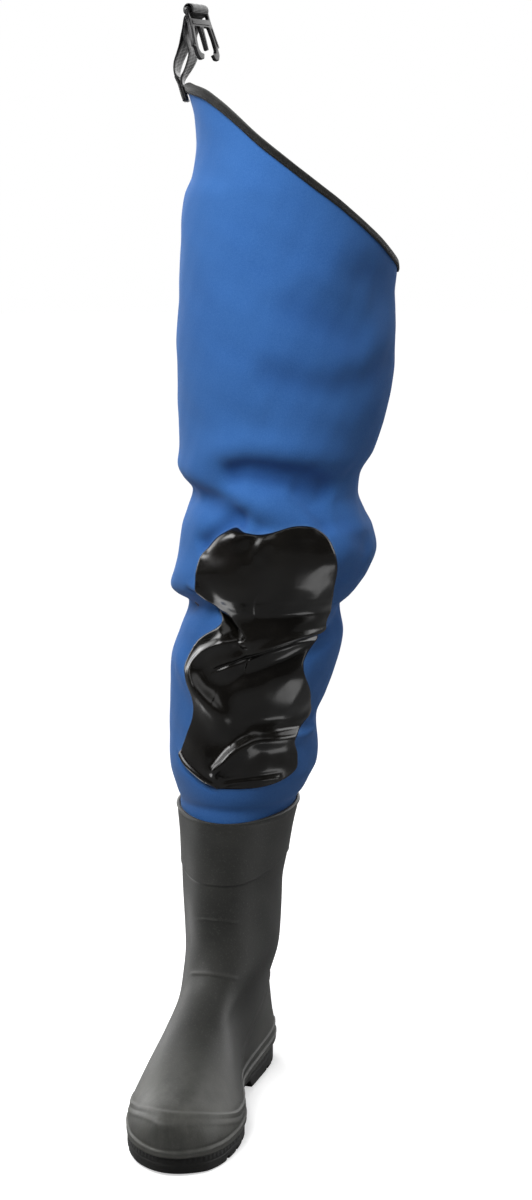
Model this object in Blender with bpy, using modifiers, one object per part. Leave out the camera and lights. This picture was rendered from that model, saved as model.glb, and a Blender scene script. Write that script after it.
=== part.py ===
"""A hip wader for the right leg: neoprene shaft, moulded rubber boot, knee patch, bound top and hip buckle.

Metres, +Z up, the toe towards -Y and the wearer's outer side towards -X. Every form is worked out about
the middle of the heel, on the floor. One empty then carries the parts to where the origin lies below
the middle of their box.
"""

import math
from collections import namedtuple

import bmesh
import bpy
import numpy as np

# Driving sizes of the sole, which is a European 43.
SOLE_LENGTH = 0.304
BALL_WIDTH = 0.112
HEEL_BACK = 0.0375
GAP = 0.0003

# Walls.
RUBBER_WALL = 0.0028
NEOPRENE_WALL = 0.0040
TAPE_WALL = 0.0010
PATCH_WALL = 0.0012
INSOLE_THICKNESS = 0.0040
INSOLE_CLEARANCE = 0.0012

# Columns of points around the boot and the leg, counted from the heel over the outer side to the toe.
COLUMNS = 32

# Plan of the sole. share: along the length from heel to toe; outer, inner: side positions in ball widths.
Plan = namedtuple("Plan", "share outer inner")
PLAN = (
    Plan(0.00, 0.000, 0.000),
    Plan(0.03, -0.210, 0.210),
    Plan(0.08, -0.317, 0.317),
    Plan(0.16, -0.353, 0.353),
    Plan(0.30, -0.342, 0.324),
    Plan(0.45, -0.379, 0.281),
    Plan(0.60, -0.473, 0.411),
    Plan(0.70, -0.500, 0.491),
    Plan(0.76, -0.482, 0.500),
    Plan(0.86, -0.393, 0.464),
    Plan(0.94, -0.259, 0.375),
    Plan(0.98, -0.125, 0.241),
    Plan(1.00, 0.054, 0.054),
)

# Heights along the sole, from toe to heel. tread: underside; seat: top of the outsole;
# rand: top edge of the boot's thick lower band.
Sole = namedtuple("Sole", "y tread seat rand")
SOLE = (
    Sole(-0.2665, 0.0025, 0.0180, 0.0460),
    Sole(-0.2450, 0.0009, 0.0165, 0.0450),
    Sole(-0.2200, 0.0000, 0.0150, 0.0390),
    Sole(-0.1850, 0.0000, 0.0145, 0.0330),
    Sole(-0.1200, 0.0000, 0.0160, 0.0310),
    Sole(-0.0980, 0.0060, 0.0180, 0.0320),
    Sole(-0.0740, 0.0090, 0.0205, 0.0350),
    Sole(-0.0660, 0.0000, 0.0215, 0.0360),
    Sole(0.0000, 0.0000, 0.0250, 0.0400),
    Sole(0.0375, 0.0000, 0.0260, 0.0420),
)

# Sections of the last that the boot is moulded over, which is its inner face. back, nose: ends of the whole
# section; front: front of the shaft in it; outer, inner: sides of the shaft.
BootSection = namedtuple("BootSection", "height back nose front outer inner")
BOOT_SECTIONS = (
    BootSection(0.015, 0.0340, -0.2635, -0.060, -0.0380, 0.0360),
    BootSection(0.045, 0.0365, -0.2615, -0.090, -0.0390, 0.0365),
    BootSection(0.052, 0.0365, -0.2545, -0.102, -0.0385, 0.0360),
    BootSection(0.058, 0.0360, -0.2420, -0.110, -0.0380, 0.0355),
    BootSection(0.063, 0.0355, -0.2240, -0.116, -0.0375, 0.0355),
    BootSection(0.069, 0.0350, -0.2010, -0.120, -0.0370, 0.0355),
    BootSection(0.076, 0.0345, -0.1810, -0.123, -0.0365, 0.0355),
    BootSection(0.085, 0.0335, -0.1610, -0.125, -0.0360, 0.0362),
    BootSection(0.096, 0.0325, -0.1420, -0.124, -0.0355, 0.0380),
    BootSection(0.108, 0.0320, -0.1270, -0.120, -0.0352, 0.0408),
    BootSection(0.122, 0.0320, -0.1150, -0.115, -0.0350, 0.0448),
    BootSection(0.140, 0.0330, -0.1050, -0.105, -0.0355, 0.0490),
    BootSection(0.165, 0.0350, -0.0990, -0.099, -0.0375, 0.0495),
    BootSection(0.200, 0.0380, -0.0960, -0.096, -0.0405, 0.0502),
    BootSection(0.230, 0.0405, -0.0955, -0.0955, -0.0418, 0.0548),
    BootSection(0.260, 0.0430, -0.0960, -0.0960, -0.0435, 0.0598),
    BootSection(0.288, 0.0450, -0.0970, -0.0970, -0.0457, 0.0660),
)
BOOT_TOP = 0.288
FOOT_CREST = 0.122
UPPER_INSET = 0.0038
TOE_TIP_SIDE = 0.006
UNION_POWER = 9.0
ARCH_POWER = 2.0
ARCH_START = 0.25

# Steps in the boot's wall.
WELT_HEIGHT = 0.0060
WELT_STEP = 0.0022
RAND_STEP = 0.0014
COLLAR_BAND_LOW = 0.2320
COLLAR_BAND_STEP = 0.0009
COUNTER_STEP = 0.0011
STEP_SOFTNESS = 0.0008

# Edge of the heel counter, from the sole's waist up to the back of the ankle.
CounterEdge = namedtuple("CounterEdge", "y height")
COUNTER_EDGE = (
    CounterEdge(-0.1300, 0.030),
    CounterEdge(-0.0950, 0.052),
    CounterEdge(-0.0500, 0.083),
    CounterEdge(-0.0200, 0.097),
    CounterEdge(0.0400, 0.108),
)

# Heights of the boot's rings of points above its rand, as shares up to BOOT_LEVEL_FROM, then in metres.
SHARES_ABOVE_RAND = (0.22, 0.46, 0.72)
BOOT_LEVEL_FROM = 0.070
BOOT_LEVELS = (
    0.070, 0.0775, 0.086, 0.096, 0.107, 0.119, 0.133, 0.150,
    0.170, 0.190, 0.210, 0.2312, 0.2328, 0.252, 0.270, 0.288,
)

# Sections of the leg. outer, inner, front, back: ends of an oval at each height.
LegSection = namedtuple("LegSection", "height outer inner front back")
LEG_SECTIONS = (
    LegSection(0.296, -0.0462, 0.0695, -0.0975, 0.0450),
    LegSection(0.301, -0.0482, 0.0740, -0.1010, 0.0470),
    LegSection(0.312, -0.0512, 0.0800, -0.1050, 0.0490),
    LegSection(0.328, -0.0550, 0.0873, -0.1080, 0.0500),
    LegSection(0.342, -0.0560, 0.0886, -0.1090, 0.0520),
    LegSection(0.373, -0.0562, 0.0864, -0.1070, 0.0540),
    LegSection(0.400, -0.0560, 0.0965, -0.1080, 0.0560),
    LegSection(0.433, -0.0540, 0.1080, -0.1100, 0.0570),
    LegSection(0.463, -0.0447, 0.1126, -0.1100, 0.0540),
    LegSection(0.488, -0.0373, 0.1105, -0.1070, 0.0500),
    LegSection(0.500, -0.0484, 0.1203, -0.1120, 0.0520),
    LegSection(0.507, -0.0512, 0.1265, -0.1160, 0.0540),
    LegSection(0.522, -0.0475, 0.1376, -0.1200, 0.0560),
    LegSection(0.545, -0.0435, 0.1460, -0.1220, 0.0570),
    LegSection(0.565, -0.0400, 0.1416, -0.1220, 0.0570),
    LegSection(0.580, -0.0359, 0.1333, -0.1200, 0.0570),
    LegSection(0.598, -0.0326, 0.1273, -0.1170, 0.0570),
    LegSection(0.612, -0.0405, 0.1285, -0.1160, 0.0600),
    LegSection(0.637, -0.0439, 0.1412, -0.1180, 0.0660),
    LegSection(0.680, -0.0456, 0.1541, -0.1220, 0.0760),
    LegSection(0.723, -0.0470, 0.1600, -0.1250, 0.0840),
    LegSection(0.780, -0.0448, 0.1580, -0.1260, 0.0880),
    LegSection(0.813, -0.0435, 0.1600, -0.1260, 0.0900),
    LegSection(0.846, -0.0420, 0.1600, -0.1260, 0.0900),
    LegSection(0.875, -0.0380, 0.1600, -0.1260, 0.0900),
    LegSection(0.893, -0.0315, 0.1600, -0.1250, 0.0890),
    LegSection(0.925, -0.0265, 0.1600, -0.1240, 0.0880),
    LegSection(0.944, -0.0285, 0.1600, -0.1230, 0.0870),
    LegSection(0.976, -0.0370, 0.1600, -0.1220, 0.0860),
)
LEG_LEVELS = (
    0.262, 0.288, 0.2945, 0.302, 0.312, 0.325, 0.338, 0.351, 0.363, 0.375, 0.387, 0.399,
    0.411, 0.423, 0.435, 0.446, 0.457, 0.468, 0.479, 0.489, 0.498, 0.507, 0.518, 0.531,
    0.545, 0.560, 0.575, 0.588, 0.601, 0.615, 0.634, 0.665, 0.705, 0.745, 0.785,
)
UPPER_SHARES = (0.35, 0.70)
BELOW_RIM = 0.0125

# Top edge of the leg. angle: degrees around the leg, 0 at the front and 90 on the inner side.
Rim = namedtuple("Rim", "angle height")
RIM = (
    Rim(-255, 0.8100), Rim(-240, 0.8110), Rim(-224, 0.8200), Rim(-212, 0.8350), Rim(-200, 0.8520),
    Rim(-189, 0.8680), Rim(-169, 0.8920), Rim(-152, 0.9130), Rim(-135, 0.9320), Rim(-116, 0.9530),
    Rim(-95, 0.9690), Rim(-75, 0.9740), Rim(-55, 0.9700), Rim(-44, 0.9660), Rim(-33, 0.9570),
    Rim(-22, 0.9445), Rim(-8, 0.9260), Rim(9, 0.9060), Rim(23, 0.8895), Rim(37, 0.8735),
    Rim(51, 0.8560), Rim(63, 0.8415), Rim(75, 0.8290), Rim(88, 0.8190), Rim(105, 0.8100),
)
BINDING_DEPTH = 0.0095
BINDING_CLEARANCE = 0.0007

# Folds of the leg. Each is a line over three places (angle in degrees, height). The cloth swells by
# `above` over the line and by `below` under it, each across its own width. Minus is a trough.
Fold = namedtuple("Fold", "start middle end above above_width below below_width")
FOLDS = (
    Fold((-72, 0.497), (-22, 0.508), (9, 0.462), 0.0050, 0.011, -0.0090, 0.009),
    Fold((96, 0.490), (34, 0.461), (-24, 0.428), 0.0060, 0.012, -0.0100, 0.010),
    Fold((-52, 0.442), (-24, 0.414), (8, 0.380), -0.0040, 0.010, 0.0065, 0.009),
    Fold((84, 0.366), (30, 0.368), (-6, 0.342), -0.0040, 0.012, 0.0050, 0.010),
    Fold((-40, 0.618), (4, 0.626), (52, 0.607), 0.0035, 0.018, -0.0055, 0.013),
    Fold((-78, 0.608), (-30, 0.598), (14, 0.583), 0.0025, 0.012, -0.0045, 0.010),
    Fold((95, 0.728), (45, 0.710), (-5, 0.692), 0.0020, 0.030, -0.0045, 0.026),
    Fold((80, 0.812), (40, 0.775), (5, 0.735), 0.0015, 0.030, -0.0040, 0.024),
    Fold((88, 0.575), (62, 0.548), (40, 0.535), 0.0020, 0.016, -0.0030, 0.014),
    Fold((110, 0.515), (165, 0.500), (215, 0.512), 0.0040, 0.016, -0.0060, 0.013),
    Fold((130, 0.462), (180, 0.455), (225, 0.470), 0.0030, 0.016, -0.0050, 0.013),
    Fold((120, 0.600), (180, 0.585), (240, 0.602), 0.0030, 0.018, -0.0045, 0.016),
)
FOLD_TAPER = 14.0
LEG_RADIUS = 0.088

# Outline of the knee patch, seen from straight ahead, from its top left clockwise.
Place = namedtuple("Place", "x z")
PATCH_OUTLINE = (
    Place(0.0125, 0.5655), Place(0.0297, 0.5761), Place(0.0432, 0.5705), Place(0.0628, 0.5701),
    Place(0.0865, 0.5768), Place(0.1051, 0.5737), Place(0.1165, 0.5630), Place(0.1225, 0.5420),
    Place(0.1165, 0.5130), Place(0.1085, 0.4880), Place(0.1010, 0.4678), Place(0.0900, 0.4480),
    Place(0.0885, 0.4350), Place(0.0915, 0.4107), Place(0.0862, 0.3849), Place(0.0795, 0.3680),
    Place(0.0795, 0.3558), Place(0.0800, 0.3449), Place(0.0785, 0.3337), Place(0.0679, 0.3258),
    Place(0.0455, 0.3214), Place(0.0181, 0.3205), Place(0.0018, 0.3200), Place(-0.0151, 0.3292),
    Place(-0.0310, 0.3412), Place(-0.0294, 0.3525), Place(-0.0158, 0.3850), Place(-0.0141, 0.4057),
    Place(-0.0221, 0.4235), Place(-0.0240, 0.4384), Place(-0.0098, 0.4625), Place(0.0130, 0.4785),
    Place(0.0128, 0.4897), Place(0.0005, 0.5023), Place(-0.0072, 0.5152), Place(-0.0084, 0.5300),
    Place(-0.0013, 0.5507),
)
PATCH_ANGLES = (-75, 84)
PATCH_HEIGHTS = (0.305, 0.600)

# Sole pattern.
LUG_DEPTH = 0.0045
GROOVE_WIDTH = 0.0050
GROOVE_TILT = 16.0
FOREFOOT_GROOVES = (-0.236, -0.218, -0.200, -0.182, -0.164, -0.146, -0.128)
HEEL_GROOVES = (-0.034, -0.017, 0.000, 0.017)

# Hip strap: a loop of webbing from the leg's outer corner round the buckle's bar. outer, inner: x of its two
# layers' middle lines at each height; twist: degrees that the webbing has turned from the leg's wall.
WEBBING_WIDTH = 0.025
WEBBING_WALL = 0.0016
STRAP_Y = -0.040
Webbing = namedtuple("Webbing", "height outer inner twist")
WEBBING = (
    Webbing(0.9600, -0.0352, -0.0333, -12),
    Webbing(0.9680, -0.0379, -0.0360, -12),
    Webbing(0.9750, -0.0400, -0.0381, -12),
    Webbing(0.9810, -0.0421, -0.0374, -8),
    Webbing(0.9870, -0.0432, -0.0336, -3),
    Webbing(0.9950, -0.0420, -0.0294, 2),
    Webbing(1.0030, -0.0388, -0.0270, 5),
    Webbing(1.0100, -0.0358, -0.0279, 9),
    Webbing(1.0180, -0.0330, -0.0304, 14),
    Webbing(1.0260, -0.0305, -0.0284, 18),
    Webbing(1.0340, -0.0287, -0.0267, 20),
)
BAR_X = -0.0247
BAR_HEIGHT = 1.0410
EYE_RADIUS = 0.0051
EYE_TURNS = (240, 205, 165, 125, 90, 55, 15, -25, -60)

# Plug of a side-release buckle, drawn flat with its bar at the middle of the sheet and its arms hanging down.
PLUG_WIDTH = 0.033
PLUG_THICKNESS = 0.0036
PLUG_SWING = 18.0
BAR_HALF = 0.0021
SLOT_DEPTH = 0.0066
SLOT_SPARE = 0.0012


def smooth(places, values, at):
    """Read a curve through the points that rises and falls only where they do."""
    places, values, at = (np.asarray(item, float) for item in (places, values, at))
    steps = np.diff(places)
    slopes = np.diff(values) / steps
    tangents = np.zeros(len(places))
    tangents[0], tangents[-1] = slopes[0], slopes[-1]
    before, after = slopes[:-1], slopes[1:]
    same = before * after > 0
    total = np.where(same, before + after, 1.0)
    tangents[1:-1] = np.where(same, 2 * before * after / total, 0.0)
    at = np.clip(at, places[0], places[-1])
    i = np.clip(np.searchsorted(places, at) - 1, 0, len(steps) - 1)
    t = (at - places[i]) / steps[i]
    start = values[i] * (1 + 2 * t) * (1 - t) ** 2 + values[i + 1] * t * t * (3 - 2 * t)
    bend = tangents[i] * t * (1 - t) ** 2 - tangents[i + 1] * t * t * (1 - t)
    return start + bend * steps[i]


def read(table, key, name, at):
    """Read one named column of a table along another."""
    return smooth([getattr(row, key) for row in table], [getattr(row, name) for row in table], at)


def ease(low, high, value):
    """Go from 0 to 1 between low and high."""
    t = np.clip((value - low) / (high - low), 0, 1)
    return t * t * (3 - 2 * t)


def turns(count):
    """Angles of the columns, from the heel (0) over the outer side to the toe (pi) and back."""
    return 2 * math.pi * np.arange(count) / count


def plan_side(y, side):
    """Side position of the sole's edge at a place along it."""
    share = (HEEL_BACK - y) / SOLE_LENGTH
    angle = np.arccos(np.clip(1 - 2 * share, -1, 1))
    angles = [math.acos(1 - 2 * row.share) for row in PLAN]
    return BALL_WIDTH * smooth(angles, [getattr(row, side) for row in PLAN], angle)


def plan_ring(count, inset=0.0):
    """The sole's outline as a ring of (x, y), moved in by the inset."""
    phi = turns(count)
    y = HEEL_BACK - SOLE_LENGTH * (1 - np.cos(phi)) / 2
    x = np.where(phi <= math.pi, plan_side(y, "outer"), plan_side(y, "inner"))
    ring = np.stack([x, y], axis=1)
    along = np.roll(ring, -1, axis=0) - np.roll(ring, 1, axis=0)
    normal = np.stack([along[:, 1], -along[:, 0]], axis=1)
    normal /= np.linalg.norm(normal, axis=1)[:, None]
    return ring - inset * normal * outward_sign(ring, normal)


def outward_sign(ring, normal):
    """1 where the normals point away from the ring's middle, else -1."""
    away = ((ring - ring.mean(axis=0)) * normal).sum(axis=1)
    return np.sign(away.sum())


def sole_height(y, name):
    return read(SOLE, "y", name, y)


def crest(y):
    """Height of the top of the foot at a place along it."""
    rows = [row for row in BOOT_SECTIONS if row.height <= FOOT_CREST]
    return smooth([row.nose for row in rows], [row.height for row in rows], y)


def boot_side(y, z, side):
    """Side position of the last: its foot and its shaft, softly joined."""
    sign = -1 if side == "outer" else 1
    back = read(BOOT_SECTIONS, "height", "back", z)
    front = read(BOOT_SECTIONS, "height", "front", z)
    outer = read(BOOT_SECTIONS, "height", "outer", z)
    inner = read(BOOT_SECTIONS, "height", "inner", z)
    shaft_middle = (outer + inner) / 2
    foot_middle = TOE_TIP_SIDE * ease(-0.16, -0.26, y)
    middle = foot_middle + (shaft_middle - foot_middle) * ease(0.06, 0.13, z)
    across = (y - (front + back) / 2) / ((back - front) / 2)
    shaft = (inner - outer) / 2 * np.sqrt(np.clip(1 - across**2, 0, 1)) * ease(0.03, 0.075, z)
    toe_tip = HEEL_BACK - SOLE_LENGTH + UPPER_INSET
    plan_y = HEEL_BACK - (back - y) * SOLE_LENGTH / (back - toe_tip)
    edge = np.abs(plan_side(plan_y, side) - foot_middle) * (1 - 2 * UPPER_INSET / BALL_WIDTH)
    top = crest(y)
    start = ARCH_START * top
    up = np.clip((z - start) / np.maximum(top - start, 1e-6), 0, 1)
    foot = edge * np.sqrt(np.clip(1 - up**ARCH_POWER, 0, 1))
    reach = (foot**UNION_POWER + shaft**UNION_POWER) ** (1 / UNION_POWER)
    return middle + sign * reach


def boot_relief(y, z):
    """How far the steps in the boot's wall stand out."""
    welt_top = sole_height(y, "seat") + WELT_HEIGHT
    rand_top = sole_height(y, "rand")
    counter = read(COUNTER_EDGE, "y", "height", np.maximum(y, COUNTER_EDGE[0].y))
    behind = ease(-0.004, 0.004, y - COUNTER_EDGE[0].y)
    out = RAND_STEP * ease(STEP_SOFTNESS, -STEP_SOFTNESS, z - rand_top)
    out = out + (WELT_STEP - RAND_STEP) * ease(STEP_SOFTNESS / 2, -STEP_SOFTNESS / 2, z - welt_top)
    out = out + COUNTER_STEP * behind * ease(0.003, -0.003, z - counter)
    return out + COLLAR_BAND_STEP * ease(-STEP_SOFTNESS, STEP_SOFTNESS, z - COLLAR_BAND_LOW)


def boot_nose(z):
    """Front end of the boot at each height: the foot's up to its crest, then the shaft's."""
    foot = read(BOOT_SECTIONS, "height", "nose", z)
    shaft = read(BOOT_SECTIONS, "height", "front", z)
    return np.where(z < FOOT_CREST, foot, shaft)


def boot_ring(height_at, count=COLUMNS):
    """One ring of the boot's inner face. height_at gives its height at each place along the foot."""
    phi = turns(count)
    nose = np.full(count, -0.2)
    back = np.full(count, 0.03)
    for _ in range(12):
        nose = boot_nose(height_at(nose))
        back = read(BOOT_SECTIONS, "height", "back", height_at(back))
    y = back + (nose - back) * (1 - np.cos(phi)) / 2
    z = height_at(y)
    x = np.where(phi <= math.pi, boot_side(y, z, "outer"), boot_side(y, z, "inner"))
    ring = np.stack([x, y], axis=1)
    along = np.roll(ring, -1, axis=0) - np.roll(ring, 1, axis=0)
    normal = np.stack([along[:, 1], -along[:, 0]], axis=1)
    normal /= np.linalg.norm(normal, axis=1)[:, None]
    normal *= outward_sign(ring, normal)
    ring = ring + boot_relief(y, z)[:, None] * normal
    return np.column_stack([ring, z])


def boot_rings(count=COLUMNS):
    """All rings of the boot, from the outsole's seat to the collar."""
    seat = lambda y: sole_height(y, "seat") + GAP
    rand = lambda y: sole_height(y, "rand")
    heights = [
        seat,
        lambda y: seat(y) + WELT_HEIGHT - STEP_SOFTNESS,
        lambda y: seat(y) + WELT_HEIGHT + STEP_SOFTNESS,
        lambda y: (seat(y) + WELT_HEIGHT + rand(y)) / 2,
        lambda y: rand(y) - STEP_SOFTNESS,
        lambda y: rand(y) + STEP_SOFTNESS,
    ]
    for share in SHARES_ABOVE_RAND:
        heights.append(lambda y, share=share: rand(y) + share * (BOOT_LEVEL_FROM - rand(y)))
    for level in BOOT_LEVELS:
        heights.append(lambda y, level=level: np.full(np.shape(y), level))
    return [boot_ring(height, count) for height in heights]


def fold_swell(fold, angle, height):
    """Outward move that one fold gives at each angle and height."""
    places = sorted((fold.start, fold.middle, fold.end))
    first, middle, last = (place[0] for place in places)
    angle = middle + (angle - middle + 180) % 360 - 180
    line = smooth([place[0] for place in places], [place[1] for place in places], angle)
    beyond = smooth([place[0] for place in places], [place[1] for place in places], angle + 1)
    slope = (beyond - line) / (LEG_RADIUS * math.radians(1))
    away = (height - line) / np.sqrt(1 + slope**2)
    within = ease(first - FOLD_TAPER, first + FOLD_TAPER, angle)
    within = within * ease(last + FOLD_TAPER, last - FOLD_TAPER, angle)
    over = fold.above * np.exp(-(((away - fold.above_width) / fold.above_width) ** 2))
    under = fold.below * np.exp(-(((away + fold.below_width) / fold.below_width) ** 2))
    return within * (over + under)


def leg_section(height):
    """Ends of the leg's oval at each height. Inside the boot it follows the collar's inner face."""
    ends = [read(LEG_SECTIONS, "height", name, height) for name in ("outer", "inner", "front", "back")]
    inset = 1.5 * GAP - COLLAR_BAND_STEP
    tucked = [
        read(BOOT_SECTIONS, "height", "outer", height) + inset,
        read(BOOT_SECTIONS, "height", "inner", height) - inset,
        read(BOOT_SECTIONS, "height", "front", height) + inset,
        read(BOOT_SECTIONS, "height", "back", height) - inset,
    ]
    free = ease(BOOT_TOP + 0.001, LEG_SECTIONS[0].height, height)
    return [inside + (end - inside) * free for inside, end in zip(tucked, ends)]


def leg_point(angle, height):
    """A point of the leg's outer face, with its folds. angle in degrees, 0 at the front."""
    outer, inner, front, back = leg_section(height)
    half_width, half_depth = (inner - outer) / 2, (back - front) / 2
    turn = np.radians(angle)
    across, ahead = np.sin(turn), -np.cos(turn)
    length = np.hypot(across * half_depth, ahead * half_width)
    normal_x, normal_y = across * half_depth / length, ahead * half_width / length
    swell = sum(fold_swell(fold, angle, height) for fold in FOLDS)
    swell = swell * ease(0.300, 0.325, height)
    x = (outer + inner) / 2 + half_width * across + swell * normal_x
    y = (front + back) / 2 + half_depth * ahead + swell * normal_y
    return np.stack([x, y, np.broadcast_to(height, x.shape)], axis=-1)


def rim_height(angle):
    """Height of the leg's slanted top edge."""
    return read(RIM, "angle", "height", (np.asarray(angle) + 255) % 360 - 255)


def leg_angles(count=COLUMNS):
    """Angles of the leg's columns in degrees, in the order of the boot's columns."""
    return -180 + 360 * np.arange(count) / count


def leg_heights(angles):
    """Heights of the leg's rings, one row of heights for each ring."""
    rows = [np.full(len(angles), level) for level in LEG_LEVELS]
    top = rim_height(angles)
    low = LEG_LEVELS[-1]
    rows += [low + share * (top - BELOW_RIM - low) for share in UPPER_SHARES]
    return rows + [top - BELOW_RIM, top]


def grid_normals(grid, closed=True):
    """Outward unit normals of a grid of points, rows by columns."""
    up = np.gradient(grid, axis=0)
    if closed:
        around = np.roll(grid, -1, axis=1) - np.roll(grid, 1, axis=1)
    else:
        around = np.gradient(grid, axis=1)
    normals = np.cross(around, up)
    return normals / np.linalg.norm(normals, axis=2)[:, :, None]


def material(name, colour, roughness, metallic=0.0):
    made = bpy.data.materials.new(name)
    made.use_nodes = True
    shader = made.node_tree.nodes["Principled BSDF"]
    shader.inputs["Base Color"].default_value = (*colour, 1.0)
    shader.inputs["Roughness"].default_value = roughness
    shader.inputs["Metallic"].default_value = metallic
    return made


def add_object(name, mesh, collection, finish):
    """Put a mesh in the collection as one named part."""
    part = bpy.data.objects.new(name, mesh)
    collection.objects.link(part)
    if finish is not None:
        mesh.materials.append(finish)
    return part


def sheet_mesh(name, grid, closed):
    """A mesh of triangles over a grid of points, rows by columns."""
    rows, columns = grid.shape[:2]
    shape = bmesh.new()
    points = [[shape.verts.new(point) for point in row] for row in grid]
    last = columns if closed else columns - 1
    for i in range(rows - 1):
        for j in range(last):
            k = (j + 1) % columns
            a, b, c, d = points[i][j], points[i][k], points[i + 1][k], points[i + 1][j]
            shape.faces.new((a, b, c))
            shape.faces.new((a, c, d))
    mesh = bpy.data.meshes.new(name)
    shape.to_mesh(mesh)
    shape.free()
    return mesh


def thicken(part, thickness, offset):
    """Give an open sheet its wall. offset -1 grows it inwards and 1 outwards."""
    wall = part.modifiers.new("wall", "SOLIDIFY")
    wall.thickness = thickness
    wall.offset = offset


def shade_round(mesh, angle=35):
    mesh.shade_smooth()
    mesh.set_sharp_from_angle(angle=math.radians(angle))


def outline_curve(name, loops, half_thickness, rounded):
    """A flat outline with holes as a filled 2D curve, in its own XY plane."""
    curve = bpy.data.curves.new(name, "CURVE")
    curve.dimensions = "2D"
    curve.fill_mode = "BOTH"
    curve.extrude = half_thickness
    curve.resolution_u = 3
    for loop in loops:
        if rounded:
            spline = curve.splines.new("BEZIER")
            spline.bezier_points.add(len(loop) - 1)
            for point, place in zip(spline.bezier_points, loop):
                point.co = (place[0], place[1], 0)
                point.handle_left_type = point.handle_right_type = "AUTO"
        else:
            spline = curve.splines.new("POLY")
            spline.points.add(len(loop) - 1)
            for point, place in zip(spline.points, loop):
                point.co = (place[0], place[1], 0, 1)
        spline.use_cyclic_u = True
    return bpy.data.objects.new(name, curve)


def curve_to_mesh(curve, collection, name, finish):
    """The curve as a closed mesh object in its place, and the curve removed."""
    collection.objects.link(curve)
    bpy.context.view_layer.update()
    graph = bpy.context.evaluated_depsgraph_get()
    mesh = bpy.data.meshes.new_from_object(curve.evaluated_get(graph))
    mesh.name = name
    mesh.materials.clear()
    shape = bmesh.new()
    shape.from_mesh(mesh)
    bmesh.ops.remove_doubles(shape, verts=shape.verts, dist=1e-6)
    bmesh.ops.recalc_face_normals(shape, faces=shape.faces)
    shape.to_mesh(mesh)
    shape.free()
    place = curve.matrix_world.copy()
    data = curve.data
    bpy.data.objects.remove(curve)
    bpy.data.curves.remove(data)
    made = add_object(name, mesh, collection, finish)
    made.matrix_world = place
    return made


def cut(part, cutter, operation):
    tool = part.modifiers.new(operation.lower(), "BOOLEAN")
    tool.operation = operation
    tool.object = cutter


def add_boot(parts, finish):
    """The moulded boot, its wall grown outwards from the last, open at its collar and underneath."""
    mesh = sheet_mesh("boot", np.array(boot_rings()), closed=True)
    shade_round(mesh)
    boot = add_object("boot", mesh, parts, finish)
    thicken(boot, RUBBER_WALL, 1)
    return boot


def add_leg(parts, finish):
    """The neoprene leg, tucked in the boot's collar and open at its slanted top."""
    angles = leg_angles()
    grid = np.array([leg_point(angles, heights) for heights in leg_heights(angles)])
    mesh = sheet_mesh("leg", grid, closed=True)
    shade_round(mesh)
    leg = add_object("leg", mesh, parts, finish)
    thicken(leg, NEOPRENE_WALL, -1)
    return leg, grid


def add_knee_patch(parts, cutters, finish, leg_grid):
    """The film on the knee: between two forms a little outside the leg's own face, inside its outline."""
    angles = leg_angles()
    normals = grid_normals(leg_grid)
    columns = (angles > PATCH_ANGLES[0]) & (angles < PATCH_ANGLES[1])
    heights = leg_grid[:, 0, 2]
    rows = (heights > PATCH_HEIGHTS[0]) & (heights < PATCH_HEIGHTS[1])
    area = (leg_grid + GAP * normals)[rows][:, columns]
    mesh = sheet_mesh("knee_patch", area, closed=False)
    shade_round(mesh)
    patch = add_object("knee_patch", mesh, parts, finish)
    thicken(patch, PATCH_WALL, 1)
    outline = outline_curve("patch_outline", [PATCH_OUTLINE], 0.10, rounded=True)
    outline.location = (0, -0.10, 0)
    outline.rotation_euler = (math.pi / 2, 0, 0)
    cutter = curve_to_mesh(outline, cutters, "patch_outline", None)
    hide(cutter)
    cut(patch, cutter, "INTERSECT")
    return patch


def hide(cutter):
    cutter.hide_render = True
    cutter.display_type = "WIRE"


def add_top_binding(parts, finish):
    """Tape folded over the slanted edge."""
    angles = leg_angles()
    top = rim_height(angles)
    rows = np.array([leg_point(angles, top - drop) for drop in (BINDING_DEPTH, 0.0)])
    normals = grid_normals(rows)
    down = rows[0] - rows[1]
    down /= np.linalg.norm(down, axis=1)[:, None]
    near, far = BINDING_CLEARANCE, BINDING_CLEARANCE + TAPE_WALL
    inside = NEOPRENE_WALL + near
    profile = (
        (far, BINDING_DEPTH), (far, -far), (-inside - TAPE_WALL, -far),
        (-inside - TAPE_WALL, BINDING_DEPTH), (-inside, BINDING_DEPTH), (-inside, -near),
        (near, -near), (near, BINDING_DEPTH),
    )
    rings = [rows[1] + out * normals[1] + drop * down for out, drop in profile]
    rings.append(rings[0])
    shape = bmesh.new()
    mesh = bpy.data.meshes.new("top_binding")
    shape.from_mesh(sheet_mesh("binding_faces", np.array(rings), closed=True))
    bmesh.ops.remove_doubles(shape, verts=shape.verts, dist=1e-6)
    bmesh.ops.recalc_face_normals(shape, faces=shape.faces)
    shape.to_mesh(mesh)
    shape.free()
    shade_round(mesh)
    return add_object("top_binding", mesh, parts, finish)


def layered_solid(name, rings):
    """A closed solid over rings of points that run from heel to toe and back, closed across at both ends."""
    shape = bmesh.new()
    points = [[shape.verts.new(point) for point in ring] for ring in rings]
    count = len(rings[0])
    for low, high in zip(points, points[1:]):
        for j in range(count):
            k = (j + 1) % count
            shape.faces.new((low[j], low[k], high[k]))
            shape.faces.new((low[j], high[k], high[j]))
    for ring in (points[0], points[-1]):
        for j in range(count // 2):
            left, next_left = ring[j], ring[j + 1]
            right, next_right = ring[-j], ring[(-j - 1) % count]
            corners = [left, next_left, next_right, right]
            corners = [corner for i, corner in enumerate(corners) if corner not in corners[:i]]
            shape.faces.new(corners)
    bmesh.ops.recalc_face_normals(shape, faces=shape.faces)
    mesh = bpy.data.meshes.new(name)
    shape.to_mesh(mesh)
    shape.free()
    return mesh


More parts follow.
